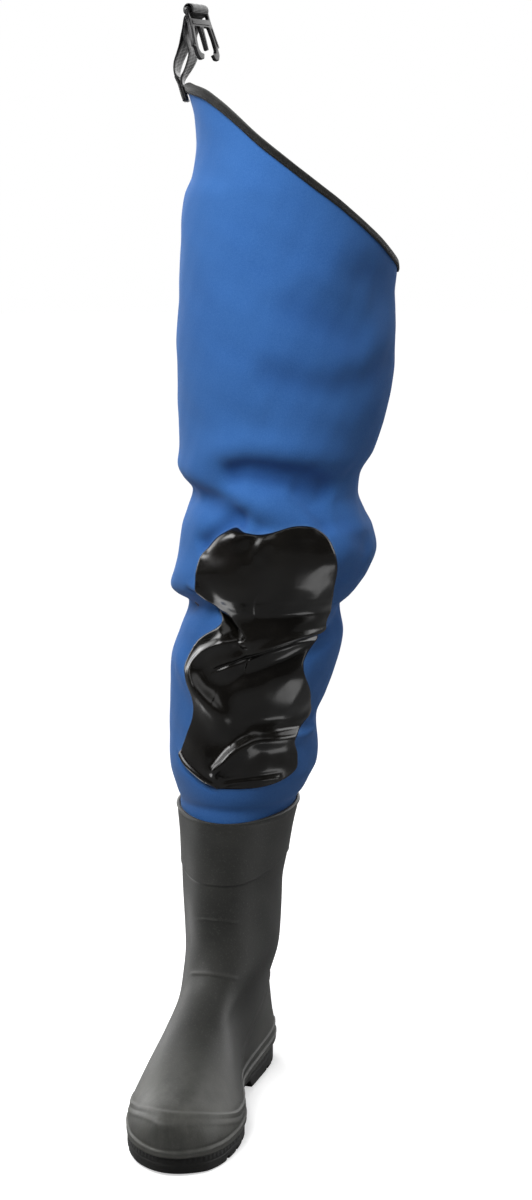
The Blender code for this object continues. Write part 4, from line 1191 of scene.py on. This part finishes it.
def add_outsole(finish):
    """The black sole: cleats underneath, bevelled edge, ribbed side and flat seat."""
    phi = turns(SOLE_COLUMNS)
    half = SOLE_COLUMNS // 2
    ring = plan_ring(SOLE_COLUMNS, SOLE_BEVEL)
    left, right = ring[: half + 1], np.vstack([ring[:1], ring[:half - 1:-1]])
    shares = (1 - np.cos(np.linspace(0, math.pi, 41))) / 2
    under = left[:, None] + shares[None, :, None] * (right - left)[:, None]
    flat_z = sole_height(under[..., 1], "tread")
    under = np.concatenate([under, (flat_z + groove_depth(under[..., 0], under[..., 1]))[..., None]], axis=2)
    side = []
    cut = groove_depth(ring[:, 0], ring[:, 1])
    tread = sole_height(ring[:, 1], "tread")
    seat = sole_height(ring[:, 1], "seat")
    outline = plan_ring(SOLE_COLUMNS)
    outward = ring_normals(outline)
    for share in np.linspace(0, 1, 20):
        rise = tread + share * (seat - tread)
        z = np.maximum(rise, tread + cut * (1 - 0.25 * share)) if share < 0.45 else rise
        inset = SOLE_BEVEL * ease(0.0016, 0.0, z - tread) + 0.0003 * ease(0.70, 1.0, share)
        line = 0.0005 * ridge(share - SOLE_LINE, 0.05)
        ribs = 0.00035 * (0.5 + 0.5 * np.sin(phi * SOLE_RIBS)) * ease(0.66, 0.74, share)
        side.append(np.column_stack([outline - (inset + line + ribs)[:, None] * outward, z]))
    side = np.array(side)
    points = [under.reshape(-1, 3), side.reshape(-1, 3)]
    width = len(shares)
    faces = [face[::-1] for face in grid_faces(half + 1, width, False)]
    begun = (half + 1) * width
    faces += [[begun + i for i in face] for face in grid_faces(len(side), SOLE_COLUMNS)]
    border = [i * width for i in range(half + 1)] + [i * width + width - 1 for i in range(half - 1, 0, -1)]
    for j in range(SOLE_COLUMNS):
        k = (j + 1) % SOLE_COLUMNS
        faces.append([border[j], border[k], begun + k, begun + j])
    faces += cap_faces(begun + (len(side) - 1) * SOLE_COLUMNS, SOLE_COLUMNS)
    mesh = mesh_of("sole", np.vstack(points), faces)
    tidy_mesh(mesh)
    mesh.set_sharp_from_angle(angle=math.radians(40))
    return add_piece("rubber_outsole", mesh, [finish], "outsole")


def tidy_mesh(mesh, reach=1e-6):
    """Join points that fall together, drop faces without area and turn all faces outwards."""
    shape = bmesh.new()
    shape.from_mesh(mesh)
    bmesh.ops.remove_doubles(shape, verts=shape.verts, dist=reach)
    bmesh.ops.dissolve_degenerate(shape, edges=shape.edges, dist=1e-7)
    bmesh.ops.recalc_face_normals(shape, faces=shape.faces)
    shape.to_mesh(mesh)
    shape.free()


def add_insole(finish):
    """The foam sole with rounded edges."""
    rings = []
    for inset, rise in INSOLE_EDGE:
        ring = plan_ring(INSOLE_COLUMNS, UPPER_INSET + INSOLE_CLEARANCE + inset)
        rings.append(np.column_stack([ring, seat_height(ring[:, 1]) + rise]))
    faces = grid_faces(len(rings), INSOLE_COLUMNS)
    for begun in (0, (len(rings) - 1) * INSOLE_COLUMNS):
        faces += cap_faces(begun, INSOLE_COLUMNS)
    mesh = mesh_of("foam", np.vstack(rings), faces)
    tidy_mesh(mesh)
    return add_piece("foam_insole", mesh, [finish], "insole")


def rim_frame():
    """Places along the leg's slanted edge, their outward normals and the direction down the leg."""
    angles = -180 + 360 * np.arange(RIM_COLUMNS) / RIM_COLUMNS
    top = rim_height(angles)
    rows = np.array([leg_point(angles, top - drop) for drop in (BINDING_DEPTH, 0.0)])
    normals = grid_normals(rows)[1]
    return rows[1], normals, unit(rows[0] - rows[1])


def add_binding(finishes):
    """Folded tape over the edge, with its zigzag stitches."""
    edge, normals, down = rim_frame()
    near, far = BINDING_CLEARANCE, BINDING_CLEARANCE + TAPE_WALL
    inside = NEOPRENE_WALL + near
    half = (far + inside + TAPE_WALL) / 2
    middle = far - half
    deep = BINDING_DEPTH
    outline = [(far - 0.0006, deep)]
    for share in np.linspace(0.04, 1, 9):
        drop = deep * (1 - share)
        swell = 0.00045 * math.sin(math.pi * share) - 0.0003 * ridge(drop - 0.0026, 0.0006)
        outline.append((far + swell, drop))
    for turn in np.linspace(0, math.pi, 11)[1:-1]:
        outline.append((middle + half * math.cos(turn), -0.0020 * math.sin(turn)))
    for share in np.linspace(0, 1, 7):
        outline.append((-inside - TAPE_WALL - 0.0003 * math.sin(math.pi * share), deep * share))
    outline += [(-inside, deep), (-inside, -near * 0.5), (near, -near * 0.5), (near, deep)]
    waves = np.sin(turns(RIM_COLUMNS) * TAPE_WAVES)
    rings = []
    for out, drop in outline:
        wobble = 0.00012 * waves * ease(0.0, deep, drop) if out > 0 else 0 * waves
        rings.append(edge + (out + wobble)[:, None] * normals + drop * down)
    mesh = tube_mesh("tape", np.array(rings))
    tidy_mesh(mesh)
    drops = deep - np.array(TAPE_STITCHES)[np.arange(RIM_COLUMNS) % 2]
    ends = edge + (far + TAPE_LIFT) * normals + drops[:, None] * down
    add_threads(mesh, zip(ends, np.roll(ends, -1, axis=0)), TAPE_THREAD)
    return add_piece("tape_top_binding", mesh, finishes, "top_binding")


def add_threads(mesh, stitches, radius, sides=5):
    """Add short round threads between pairs of points to a mesh, in its second material."""
    start, end = (np.array(points) for points in zip(*stitches))
    along = unit(end - start)
    helper = np.where(np.abs(along[:, 2:3]) < 0.8, [[0.0, 0.0, 1.0]], [[1.0, 0.0, 0.0]])
    first = unit(np.cross(along, helper))
    second = np.cross(along, first)
    shape = bmesh.new()
    shape.from_mesh(mesh)
    for face in shape.faces:
        face.material_index = 0
    for a, b, u, v in zip(start, end, first, second):
        rings = []
        for place, size in ((a, 0.45), (a + 0.25 * (b - a), 1.0), (a + 0.75 * (b - a), 1.0), (b, 0.45)):
            ring = []
            for i in range(sides):
                turn = 2 * math.pi * i / sides
                away = math.cos(turn) * u + math.sin(turn) * v
                ring.append(shape.verts.new(place + size * radius * away))
            rings.append(ring)
        made = []
        for low, high in zip(rings, rings[1:]):
            for i in range(sides):
                k = (i + 1) % sides
                made.append(shape.faces.new((low[i], low[k], high[k], high[i])))
        made.append(shape.faces.new(rings[0][::-1]))
        made.append(shape.faces.new(rings[-1]))
        for face in made:
            face.material_index = 1
            face.smooth = True
    shape.to_mesh(mesh)
    shape.free()


def strap_rows():
    """Finer rows along the webbing: middle of each row, direction across it, and its place along."""
    rows = []
    for axis, offset, height, twist in strap_line():
        turn = math.radians(twist)
        middle = (axis + offset * math.cos(turn), STRAP_Y - offset * math.sin(turn), height)
        rows.append((*middle, twist))
    fine = rounded_line(rows, 4)
    turn = np.radians(fine[:, 3])
    across = np.stack([np.sin(turn), np.cos(turn), np.zeros(len(turn))], axis=1)
    return fine[:, :3], across


def add_strap(finishes):
    """The webbing loop with rounded selvedges, and the block of stitches that holds it to the leg."""
    middle, across = strap_rows()
    normal = unit(np.cross(across, unit(np.gradient(middle, axis=0))))
    half, wall = WEBBING_WIDTH / 2, WEBBING_WALL / 2
    profile = []
    for side in (1, -1):
        for share in np.linspace(-side, side, 17):
            rise = wall * (1 - 0.25 * share**8) + 0.00008 * math.cos(share * 40)
            profile.append((share * (half - 0.0004), side * rise))
        profile.append((side * half, 0.0))
    profile = np.array(profile)
    folded = 1 + STRAP_FOLD * ease(FOLD_END, SEWN_TOP, middle[:, 2])[:, None, None]
    grid = middle[:, None] + profile[None, :, 0:1] * across[:, None]
    grid = grid + profile[None, :, 1:2] * folded * normal[:, None]
    rows, columns = grid.shape[:2]
    faces = grid_faces(rows, columns)
    faces += [list(range(columns))[::-1], [(rows - 1) * columns + i for i in range(columns)]]
    mesh = mesh_of("webbing", grid.reshape(-1, 3), faces)
    tidy_mesh(mesh)
    face = wall * (1 + STRAP_FOLD) + STRAP_LIFT

    def on_face(row, place, side):
        """A stitch's end on one side of the sewn webbing."""
        return middle[row] + place * across[row] + side * face * normal[row]

    stitches = []
    sewn = [i for i in range(rows // 3) if middle[i][2] < SEWN_TOP]
    for side in (-1, 1):
        for i, j in zip(sewn, sewn[1:]):
            for place in (-STITCH_ROW, STITCH_ROW):
                stitches.append((on_face(i, place, side), on_face(j, place, side)))
    for i in (sewn[2], sewn[len(sewn) // 2], sewn[-2]):
        for place in np.arange(-STITCH_ROW, 0.0090, STITCH_STEP):
            for side in (-1, 1):
                stitches.append((on_face(i, place, side), on_face(i, place + STITCH_LENGTH, side)))
    add_threads(mesh, stitches, STRAP_THREAD)
    return add_piece("webbing_hip_strap", mesh, finishes, "hip_strap")


def plug_curve(loops, half_thickness, bevel):
    """A flat outline with holes as a filled curve with rounded edges."""
    curve = bpy.data.curves.new("plug", "CURVE")
    curve.dimensions = "2D"
    curve.fill_mode = "BOTH"
    curve.extrude = half_thickness - bevel
    curve.bevel_depth = bevel
    curve.bevel_resolution = 2
    curve.offset = -bevel
    for loop in loops:
        spline = curve.splines.new("POLY")
        spline.points.add(len(loop) - 1)
        for point, place in zip(spline.points, loop):
            point.co = (place[0], place[1], 0, 1)
        spline.use_cyclic_u = True
    holder = in_scene("plug", curve)
    bpy.context.view_layer.update()
    graph = bpy.context.evaluated_depsgraph_get()
    mesh = bpy.data.meshes.new_from_object(holder.evaluated_get(graph))
    bpy.data.objects.remove(holder)
    bpy.data.curves.remove(curve)
    return mesh


def rounded_loop(loop, parts=4):
    """A closed outline with its corners softened a little."""
    points = np.asarray(loop, float)
    soft = []
    for before, point, after in zip(np.roll(points, 1, axis=0), points, np.roll(points, -1, axis=0)):
        back, on = before - point, after - point
        back_length, on_length = np.linalg.norm(back), np.linalg.norm(on)
        reach = min(CORNER_REACH, 0.45 * back_length, 0.45 * on_length)
        a = point + reach * back / back_length
        b = point + reach * on / on_length
        for t in np.linspace(0, 1, parts):
            soft.append((1 - t) ** 2 * a + 2 * t * (1 - t) * point + t**2 * b)
    return [tuple(place) for place in soft]


def add_buckle(finish):
    """The plug of the hip buckle, with rounded edges and ribs on its arms and pin."""
    right = plug_outline()
    left = [(-x, y) for x, y in reversed(right)]
    slot_half = WEBBING_WIDTH / 2 + SLOT_SPARE
    top, low = -BAR_HALF, -BAR_HALF - SLOT_DEPTH
    slot = [(-slot_half, top), (slot_half, top), (slot_half, low), (-slot_half, low)]
    loops = [rounded_loop(right + left), rounded_loop(slot)]
    mesh = plug_curve(loops, PLUG_THICKNESS / 2, 0.0005)
    shape = bmesh.new()
    shape.from_mesh(mesh)
    half = PLUG_WIDTH / 2
    arm = [
        (half - 0.0020, -0.0170), (half - 0.0004, -0.0165),
        (half + 0.0018, -0.0335), (half + 0.0002, -0.0340),
    ]
    ribs = [
        [(-0.0012, -0.0165), (0.0012, -0.0165), (0.0009, -0.0370), (-0.0009, -0.0370)],
        arm,
        [(-x, y) for x, y in (arm[1], arm[0], arm[3], arm[2])],
        [
            (-half + 0.0030, -0.0108), (half - 0.0030, -0.0108),
            (half - 0.0036, -0.0142), (-half + 0.0036, -0.0142),
        ],
    ]
    for rib in ribs:
        shape.from_mesh(plug_curve([rounded_loop(rib)], PLUG_THICKNESS / 2 + 0.0006, 0.0004))
    shape.to_mesh(mesh)
    shape.free()
    mesh.materials.clear()
    tidy_mesh(mesh)
    mesh.shade_smooth()
    mesh.set_sharp_from_angle(angle=math.radians(50))
    turn = Matrix.Rotation(math.radians(90 - WEBBING[-1].twist), 4, "Z")
    tilt = Matrix.Rotation(math.radians(90 - PLUG_SWING), 4, "X")
    mesh.transform(Matrix.Translation((BAR_X, STRAP_Y, BAR_HEIGHT)) @ turn @ tilt)
    return add_piece("plastic_buckle", mesh, [finish], "buckle", "buckle")


def node(tree, kind, inputs=None, **settings):
    """Add a node. Inputs are set by name or number, to a value or to another node's output."""
    made = tree.nodes.new(kind)
    for key, value in settings.items():
        setattr(made, key, value)
    for key, value in (inputs or {}).items():
        if isinstance(value, bpy.types.NodeSocket):
            tree.links.new(value, made.inputs[key])
        else:
            made.inputs[key].default_value = value
    return made


def new_material(name, **values):
    """A material with its shader's plain values set, its tree and its shader."""
    made = bpy.data.materials.new(name)
    made.use_nodes = True
    shader = made.node_tree.nodes["Principled BSDF"]
    for key, value in values.items():
        shader.inputs[key.replace("_", " ")].default_value = value
    return made, made.node_tree, shader


def lead(shader, name, value):
    """Link a value of the tree to one of the shader's sockets."""
    shader.id_data.links.new(value, shader.inputs[name])


def noise(tree, scale, detail=3.0, rough=0.5, stretch=(1, 1, 1)):
    """Noise over the piece's own coordinates, from 0 to 1."""
    place = node(tree, "ShaderNodeTexCoord").outputs["Object"]
    if stretch != (1, 1, 1):
        place = node(tree, "ShaderNodeMapping", {"Vector": place, "Scale": stretch}).outputs["Vector"]
    made = node(tree, "ShaderNodeTexNoise", {
        "Vector": place, "Scale": scale, "Detail": detail, "Roughness": rough,
    })
    return made.outputs["Fac"]


def span(tree, value, low, high, to_low=0.0, to_high=1.0):
    """Stretch the part of a value between low and high over a new range."""
    made = node(tree, "ShaderNodeMapRange", {
        "Value": value, "From Min": low, "From Max": high, "To Min": to_low, "To Max": to_high,
    })
    return made.outputs["Result"]


def blend(tree, share, first, second, kind="MIX"):
    """Mix two colours."""
    made = tree.nodes.new("ShaderNodeMix")
    made.data_type = "RGBA"
    made.blend_type = kind
    for socket, value in ((made.inputs[0], share), (made.inputs[6], first), (made.inputs[7], second)):
        if isinstance(value, bpy.types.NodeSocket):
            tree.links.new(value, socket)
        elif isinstance(value, tuple):
            socket.default_value = (*value, 1.0)
        else:
            socket.default_value = value
    return made.outputs[2]


def calculate(tree, operation, first, second=0.0):
    """Work on one or two numbers."""
    made = node(tree, "ShaderNodeMath", {0: first, 1: second}, operation=operation)
    return made.outputs[0]


def stored(tree, name):
    """A number kept for each of the mesh's points."""
    return node(tree, "ShaderNodeAttribute", attribute_name=name).outputs["Fac"]


def bump(tree, height, strength, distance, under=None):
    """Normals that follow a height, over those of another bump."""
    inputs = {"Height": height, "Strength": strength, "Distance": distance}
    if under is not None:
        inputs["Normal"] = under
    return node(tree, "ShaderNodeBump", inputs).outputs["Normal"]


def neoprene_material():
    """Fine knitted face on foam: soft, slightly heathered, with painted shade that darkens it down in the
    creases.
    """
    made, tree, shader = new_material(
        "blue_neoprene", Roughness=0.78, Sheen_Weight=0.12, Sheen_Roughness=0.45, Specular_IOR_Level=0.25,
        Sheen_Tint=(0.55, 0.72, 1.0, 1.0),
    )
    heather = noise(tree, 950, 2.0, 0.7)
    patches = noise(tree, 9, 4.0, 0.55)
    colour = blend(tree, span(tree, patches, 0.3, 0.7), (0.032, 0.122, 0.380), (0.043, 0.150, 0.430))
    colour = blend(tree, span(tree, heather, 0.35, 0.7, 0.0, 0.45), colour, (0.070, 0.200, 0.500))
    # Painted shade: the blue darkens towards deep navy where the creases sink in.
    painted_crease_shade = span(tree, stored(tree, "crease"), -0.10, -0.90, 0.0, 0.35)
    colour = blend(tree, painted_crease_shade, colour, (0.012, 0.050, 0.220))
    glue = calculate(tree, "MULTIPLY", stored(tree, "halo"), 0.30)
    colour = blend(tree, glue, colour, (0.120, 0.240, 0.480))
    lead(shader, "Base Color", colour)
    knit = noise(tree, 1500, 2.0, 0.6, (1.0, 1.0, 0.55))
    fuzz = noise(tree, 340, 3.0, 0.6)
    normal = bump(tree, knit, 0.35, 0.0004)
    lead(shader, "Normal", bump(tree, fuzz, 0.18, 0.0005, normal))
    return made


def lining_material():
    """The plain dark lining inside."""
    made, tree, shader = new_material("dark_lining", Roughness=0.9, Sheen_Weight=0.15)
    cloud = span(tree, noise(tree, 700, 2.0), 0.3, 0.7)
    colour = blend(tree, cloud, (0.010, 0.011, 0.014), (0.026, 0.028, 0.034))
    lead(shader, "Base Color", colour)
    lead(shader, "Normal", bump(tree, noise(tree, 1300, 2.0), 0.4, 0.0004))
    return made


def film_material():
    """Glossy black film, a little brown, with the faint unevenness of a brushed coat."""
    made, tree, shader = new_material("black_film", Coat_Weight=0.0, Specular_IOR_Level=0.5)
    cloud = noise(tree, 30, 4.0, 0.6)
    colour = blend(tree, span(tree, cloud, 0.35, 0.7), (0.0045, 0.0040, 0.0034), (0.0095, 0.0085, 0.0072))
    colour = blend(tree, span(tree, stored(tree, "edge"), 0.3, 1.0, 0.0, 0.5), colour, (0.004, 0.004, 0.005))
    lead(shader, "Base Color", colour)
    gloss = span(tree, noise(tree, 55, 3.0, 0.6), 0.3, 0.75, 0.16, 0.25)
    lead(shader, "Roughness", gloss)
    peel = noise(tree, 420, 2.0, 0.5)
    drape = noise(tree, 60, 2.0, 0.5, (1.0, 1.0, 0.4))
    normal = bump(tree, drape, 0.25, 0.0012)
    lead(shader, "Normal", bump(tree, peel, 0.10, 0.0003, normal))
    return made


def boot_material():
    """Dark grey rubber, dusty over the toe, lighter on its foxing and raised lines."""
    made, tree, shader = new_material("grey_rubber", Specular_IOR_Level=0.4)
    cloud = noise(tree, 14, 5.0, 0.6)
    speck = noise(tree, 620, 2.0, 0.6)
    colour = blend(tree, span(tree, cloud, 0.3, 0.72), (0.021, 0.0215, 0.0200), (0.047, 0.047, 0.0435))
    wiped = span(tree, noise(tree, 26, 5.0, 0.7, (1.0, 1.0, 0.45)), 0.35, 0.75, 0.25, 1.0)
    dust = calculate(tree, "MULTIPLY", stored(tree, "dust"), wiped)
    colour = blend(tree, dust, colour, (0.105, 0.105, 0.095))
    streak = span(tree, noise(tree, 160, 4.0, 0.75, (0.6, 0.6, 3.0)), 0.40, 0.66, 0.10, 0.75)
    rubbed = calculate(tree, "MULTIPLY", stored(tree, "band"), streak)
    colour = blend(tree, rubbed, colour, (0.125, 0.125, 0.115))
    colour = blend(tree, span(tree, speck, 0.56, 0.72, 0.0, 0.30), colour, (0.110, 0.110, 0.100))
    lead(shader, "Base Color", colour)
    lead(shader, "Roughness", span(tree, cloud, 0.3, 0.7, 0.44, 0.58))
    normal = bump(tree, speck, 0.25, 0.0004)
    lead(shader, "Normal", bump(tree, noise(tree, 90, 4.0, 0.6), 0.16, 0.0008, normal))
    return made


def sole_material():
    """Black rubber with faint dusty patches."""
    made, tree, shader = new_material("black_rubber", Specular_IOR_Level=0.4)
    cloud = noise(tree, 40, 4.0, 0.65)
    colour = blend(tree, span(tree, cloud, 0.35, 0.75), (0.0050, 0.0050, 0.0048), (0.015, 0.0145, 0.0135))
    lead(shader, "Base Color", colour)
    lead(shader, "Roughness", span(tree, cloud, 0.3, 0.7, 0.48, 0.70))
    lead(shader, "Normal", bump(tree, noise(tree, 500, 3.0, 0.6), 0.22, 0.0004))
    return made


def foam_material():
    """The insole's brushed foam."""
    made, tree, shader = new_material("grey_foam", Roughness=0.95, Sheen_Weight=0.2)
    cloud = span(tree, noise(tree, 800, 3.0), 0.3, 0.7)
    colour = blend(tree, cloud, (0.020, 0.020, 0.021), (0.050, 0.050, 0.050))
    lead(shader, "Base Color", colour)
    lead(shader, "Normal", bump(tree, noise(tree, 1100, 3.0), 0.5, 0.0005))
    return made


def tape_material():
    """Black woven tape with faint dusty patches."""
    made, tree, shader = new_material(
        "black_tape", Roughness=0.72, Sheen_Weight=0.12, Specular_IOR_Level=0.35,
    )
    weave = noise(tree, 1300, 1.0, 0.5, (1.0, 1.0, 0.3))
    colour = blend(tree, span(tree, weave, 0.35, 0.65), (0.005, 0.005, 0.005), (0.018, 0.018, 0.017))
    colour = blend(tree, span(tree, noise(tree, 60, 3.0), 0.5, 0.8, 0.0, 0.25), colour, (0.060, 0.058, 0.050))
    lead(shader, "Base Color", colour)
    lead(shader, "Normal", bump(tree, weave, 0.4, 0.0004))
    return made


def webbing_material():
    """Black ribbed webbing with a low shine."""
    made, tree, shader = new_material("black_webbing", Roughness=0.30, Specular_IOR_Level=0.65)
    place = node(tree, "ShaderNodeTexCoord").outputs["Object"]
    rib = node(tree, "ShaderNodeTexWave", {"Vector": place, "Scale": 260.0, "Distortion": 0.6, "Detail": 1.0},
               wave_type="BANDS", bands_direction="Z").outputs["Fac"]
    colour = blend(tree, rib, (0.004, 0.004, 0.0045), (0.015, 0.015, 0.016))
    lead(shader, "Base Color", colour)
    normal = bump(tree, rib, 0.5, 0.0004)
    lead(shader, "Normal", bump(tree, noise(tree, 1500, 2.0), 0.25, 0.0003, normal))
    return made


def thread_material():
    """The black thread of the stitches."""
    made, tree, shader = new_material("black_thread", Roughness=0.5)
    twist = noise(tree, 3500, 1.0)
    colour = blend(tree, span(tree, twist, 0.4, 0.6), (0.008, 0.008, 0.008), (0.030, 0.030, 0.030))
    lead(shader, "Base Color", colour)
    return made


def plastic_material():
    """Smooth black moulded plastic."""
    made, tree, shader = new_material("black_plastic", Coat_Weight=0.15, Coat_Roughness=0.2)
    cloud = noise(tree, 120, 3.0)
    colour = blend(tree, span(tree, cloud, 0.3, 0.7), (0.0085, 0.0085, 0.0090), (0.017, 0.017, 0.018))
    lead(shader, "Base Color", colour)
    lead(shader, "Roughness", span(tree, cloud, 0.3, 0.7, 0.24, 0.38))
    lead(shader, "Normal", bump(tree, noise(tree, 900, 2.0), 0.10, 0.0002))
    return made


def floor_material():
    """Pale and matt to the camera, dark to light and gloss, and fading into the white far away."""
    made, tree, shader = new_material("pale_floor", Roughness=0.9, Specular_IOR_Level=0.05)
    place = node(tree, "ShaderNodeTexCoord").outputs["Object"]
    away = node(tree, "ShaderNodeVectorMath", {0: place}, operation="LENGTH").outputs["Value"]
    far = span(tree, away, FLOOR_NEAR, FLOOR_FAR)
    seen = tree.nodes.new("ShaderNodeLightPath").outputs["Is Camera Ray"]
    colour = blend(tree, noise(tree, 1.5, 2.0), (0.90, 0.90, 0.90), (0.93, 0.93, 0.93))
    colour = blend(tree, far, colour, (0.0, 0.0, 0.0))
    lead(shader, "Base Color", blend(tree, seen, (0.24, 0.24, 0.24), colour))
    glow = blend(tree, seen, (0.04, 0.04, 0.04), (1.0, 1.0, 1.0))
    lead(shader, "Emission Color", glow)
    lead(shader, "Emission Strength", span(tree, far, 0.0, 1.0, FLOOR_GLOW, WORLD_SEEN))
    return made


def add_floor():
    """A wide pale floor."""
    around = turns(FLOOR_SIDES)
    ring = FLOOR_RADIUS * np.column_stack([np.cos(around), np.sin(around), np.zeros(FLOOR_SIDES)])
    mesh = mesh_of("floor", ring, [list(range(FLOOR_SIDES))])
    mesh.materials.append(floor_material())
    floor = in_scene("floor", mesh)


def add_light(row):
    """A soft square light that faces its target."""
    data = bpy.data.lights.new(row.name, "AREA")
    data.shape = "RECTANGLE"
    data.size, data.size_y = row.size
    data.energy = row.power
    lamp = in_scene(row.name, data)
    lamp.location = row.place
    lamp.visible_camera = False
    lamp.visible_diffuse = not row.gloss
    lamp.visible_glossy = row.gloss
    lamp.rotation_euler = (Vector(row.target) - Vector(row.place)).to_track_quat("-Z", "Y").to_euler()


def add_sun(place, strength, angle):
    """Even soft light from far away, so that the floor is as pale in the distance as near by."""
    data = bpy.data.lights.new("sky", "SUN")
    data.energy = strength
    data.angle = math.radians(angle)
    lamp = in_scene("sky", data)
    lamp.visible_glossy = False
    lamp.rotation_euler = (-Vector(place)).to_track_quat("-Z", "Y").to_euler()


def within(tree, value, low, high, soft):
    """1 where a value lies between low and high, with soft edges."""
    rise = span(tree, value, low - soft, low + soft)
    return calculate(tree, "MULTIPLY", rise, span(tree, value, high + soft, high - soft))


def panel_light(tree, heading, sine, panel):
    """Brightness of one mirrored panel in each direction, with soft edges."""
    first, last = math.radians(panel.first), math.radians(panel.last)
    across = within(tree, heading, first, last, PANEL_SOFT_SIDES)
    up = within(tree, sine, panel.low, panel.high, PANEL_SOFT_ENDS)
    return calculate(tree, "MULTIPLY", calculate(tree, "MULTIPLY", across, up), panel.strength)


def add_world():
    """White all round, but gloss mirrors a dark room with white panels."""
    world = bpy.data.worlds.new("studio")
    bpy.context.scene.world = world
    world.use_nodes = True
    tree = world.node_tree
    background = tree.nodes["Background"]
    background.inputs["Color"].default_value = (1.0, 1.0, 1.0, 1.0)
    path = tree.nodes.new("ShaderNodeLightPath")
    direction = tree.nodes.new("ShaderNodeTexCoord").outputs["Generated"]
    parts = node(tree, "ShaderNodeSeparateXYZ", {"Vector": direction}).outputs
    ahead = calculate(tree, "MULTIPLY", parts["Y"], -1.0)
    heading = calculate(tree, "ARCTAN2", parts["X"], ahead)
    turned = calculate(tree, "WRAP", heading, math.radians(270))
    turned.node.inputs[2].default_value = math.radians(-90)
    mirrored = calculate(tree, "ADD", WORLD_MIRRORED, 0.0)
    for panel in PANELS:
        around = turned if panel.last > 180 else heading
        mirrored = calculate(tree, "ADD", mirrored, panel_light(tree, around, parts["Z"], panel))
    light = tree.nodes.new("ShaderNodeMix")
    tree.links.new(path.outputs["Is Glossy Ray"], light.inputs[0])
    light.inputs[2].default_value = WORLD_SOFT
    tree.links.new(mirrored, light.inputs[3])
    seen = tree.nodes.new("ShaderNodeMix")
    tree.links.new(path.outputs["Is Camera Ray"], seen.inputs[0])
    tree.links.new(light.outputs[0], seen.inputs[2])
    seen.inputs[3].default_value = WORLD_SEEN
    tree.links.new(seen.outputs[0], background.inputs["Strength"])


def add_lights():
    """A white studio: a soft key light above the front, one behind, two low cards and an even sky."""
    bpy.context.scene.view_settings.view_transform = "Standard"
    add_world()
    for row in LAMPS:
        add_light(row)
    add_sun(SKY_PLACE, SKY_STRENGTH, SKY_WIDTH)


def add_camera():
    """The photo's camera, turned to frame this wader alone."""
    data = bpy.data.cameras.new("camera")
    data.lens = CAMERA_LENS
    data.sensor_width = 36.0
    camera = in_scene("camera", data)
    camera.location = Vector(CAMERA_PLACE) + PLACE
    down = math.radians(CAMERA_DOWN)
    ahead = Vector((CAMERA_HEADING[0] * math.cos(down), CAMERA_HEADING[1] * math.cos(down), -math.sin(down)))
    camera.rotation_euler = ahead.to_track_quat("-Z", "Y").to_euler()
    bpy.context.scene.camera = camera


def model_place():
    """Where the middle of the heel stands in the model's own frame."""
    low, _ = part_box("outsole")
    ring = plan_ring(MODEL_COLUMNS)
    return Vector((low.x - ring[:, 0].min(), low.y - ring[:, 1].min(), 0.0))


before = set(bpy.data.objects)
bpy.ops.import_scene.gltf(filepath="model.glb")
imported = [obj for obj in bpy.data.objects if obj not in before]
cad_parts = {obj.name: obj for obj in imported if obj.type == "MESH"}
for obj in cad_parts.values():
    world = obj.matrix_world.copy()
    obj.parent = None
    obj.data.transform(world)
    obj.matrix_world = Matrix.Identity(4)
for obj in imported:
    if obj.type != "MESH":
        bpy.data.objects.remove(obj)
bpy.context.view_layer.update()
PLACE = model_place()
add_camera()
add_lights()
add_floor()
threads = thread_material()
lining = lining_material()
film_border, film_inner, film_depth = patch_points()
add_outsole(sole_material())
add_boot([boot_material(), lining])
add_insole(foam_material())
add_leg([neoprene_material(), lining], film_border)
add_film(film_material(), film_border, film_inner, film_depth)
add_binding([tape_material(), threads])
add_strap([webbing_material(), threads])
add_buckle(plastic_material())
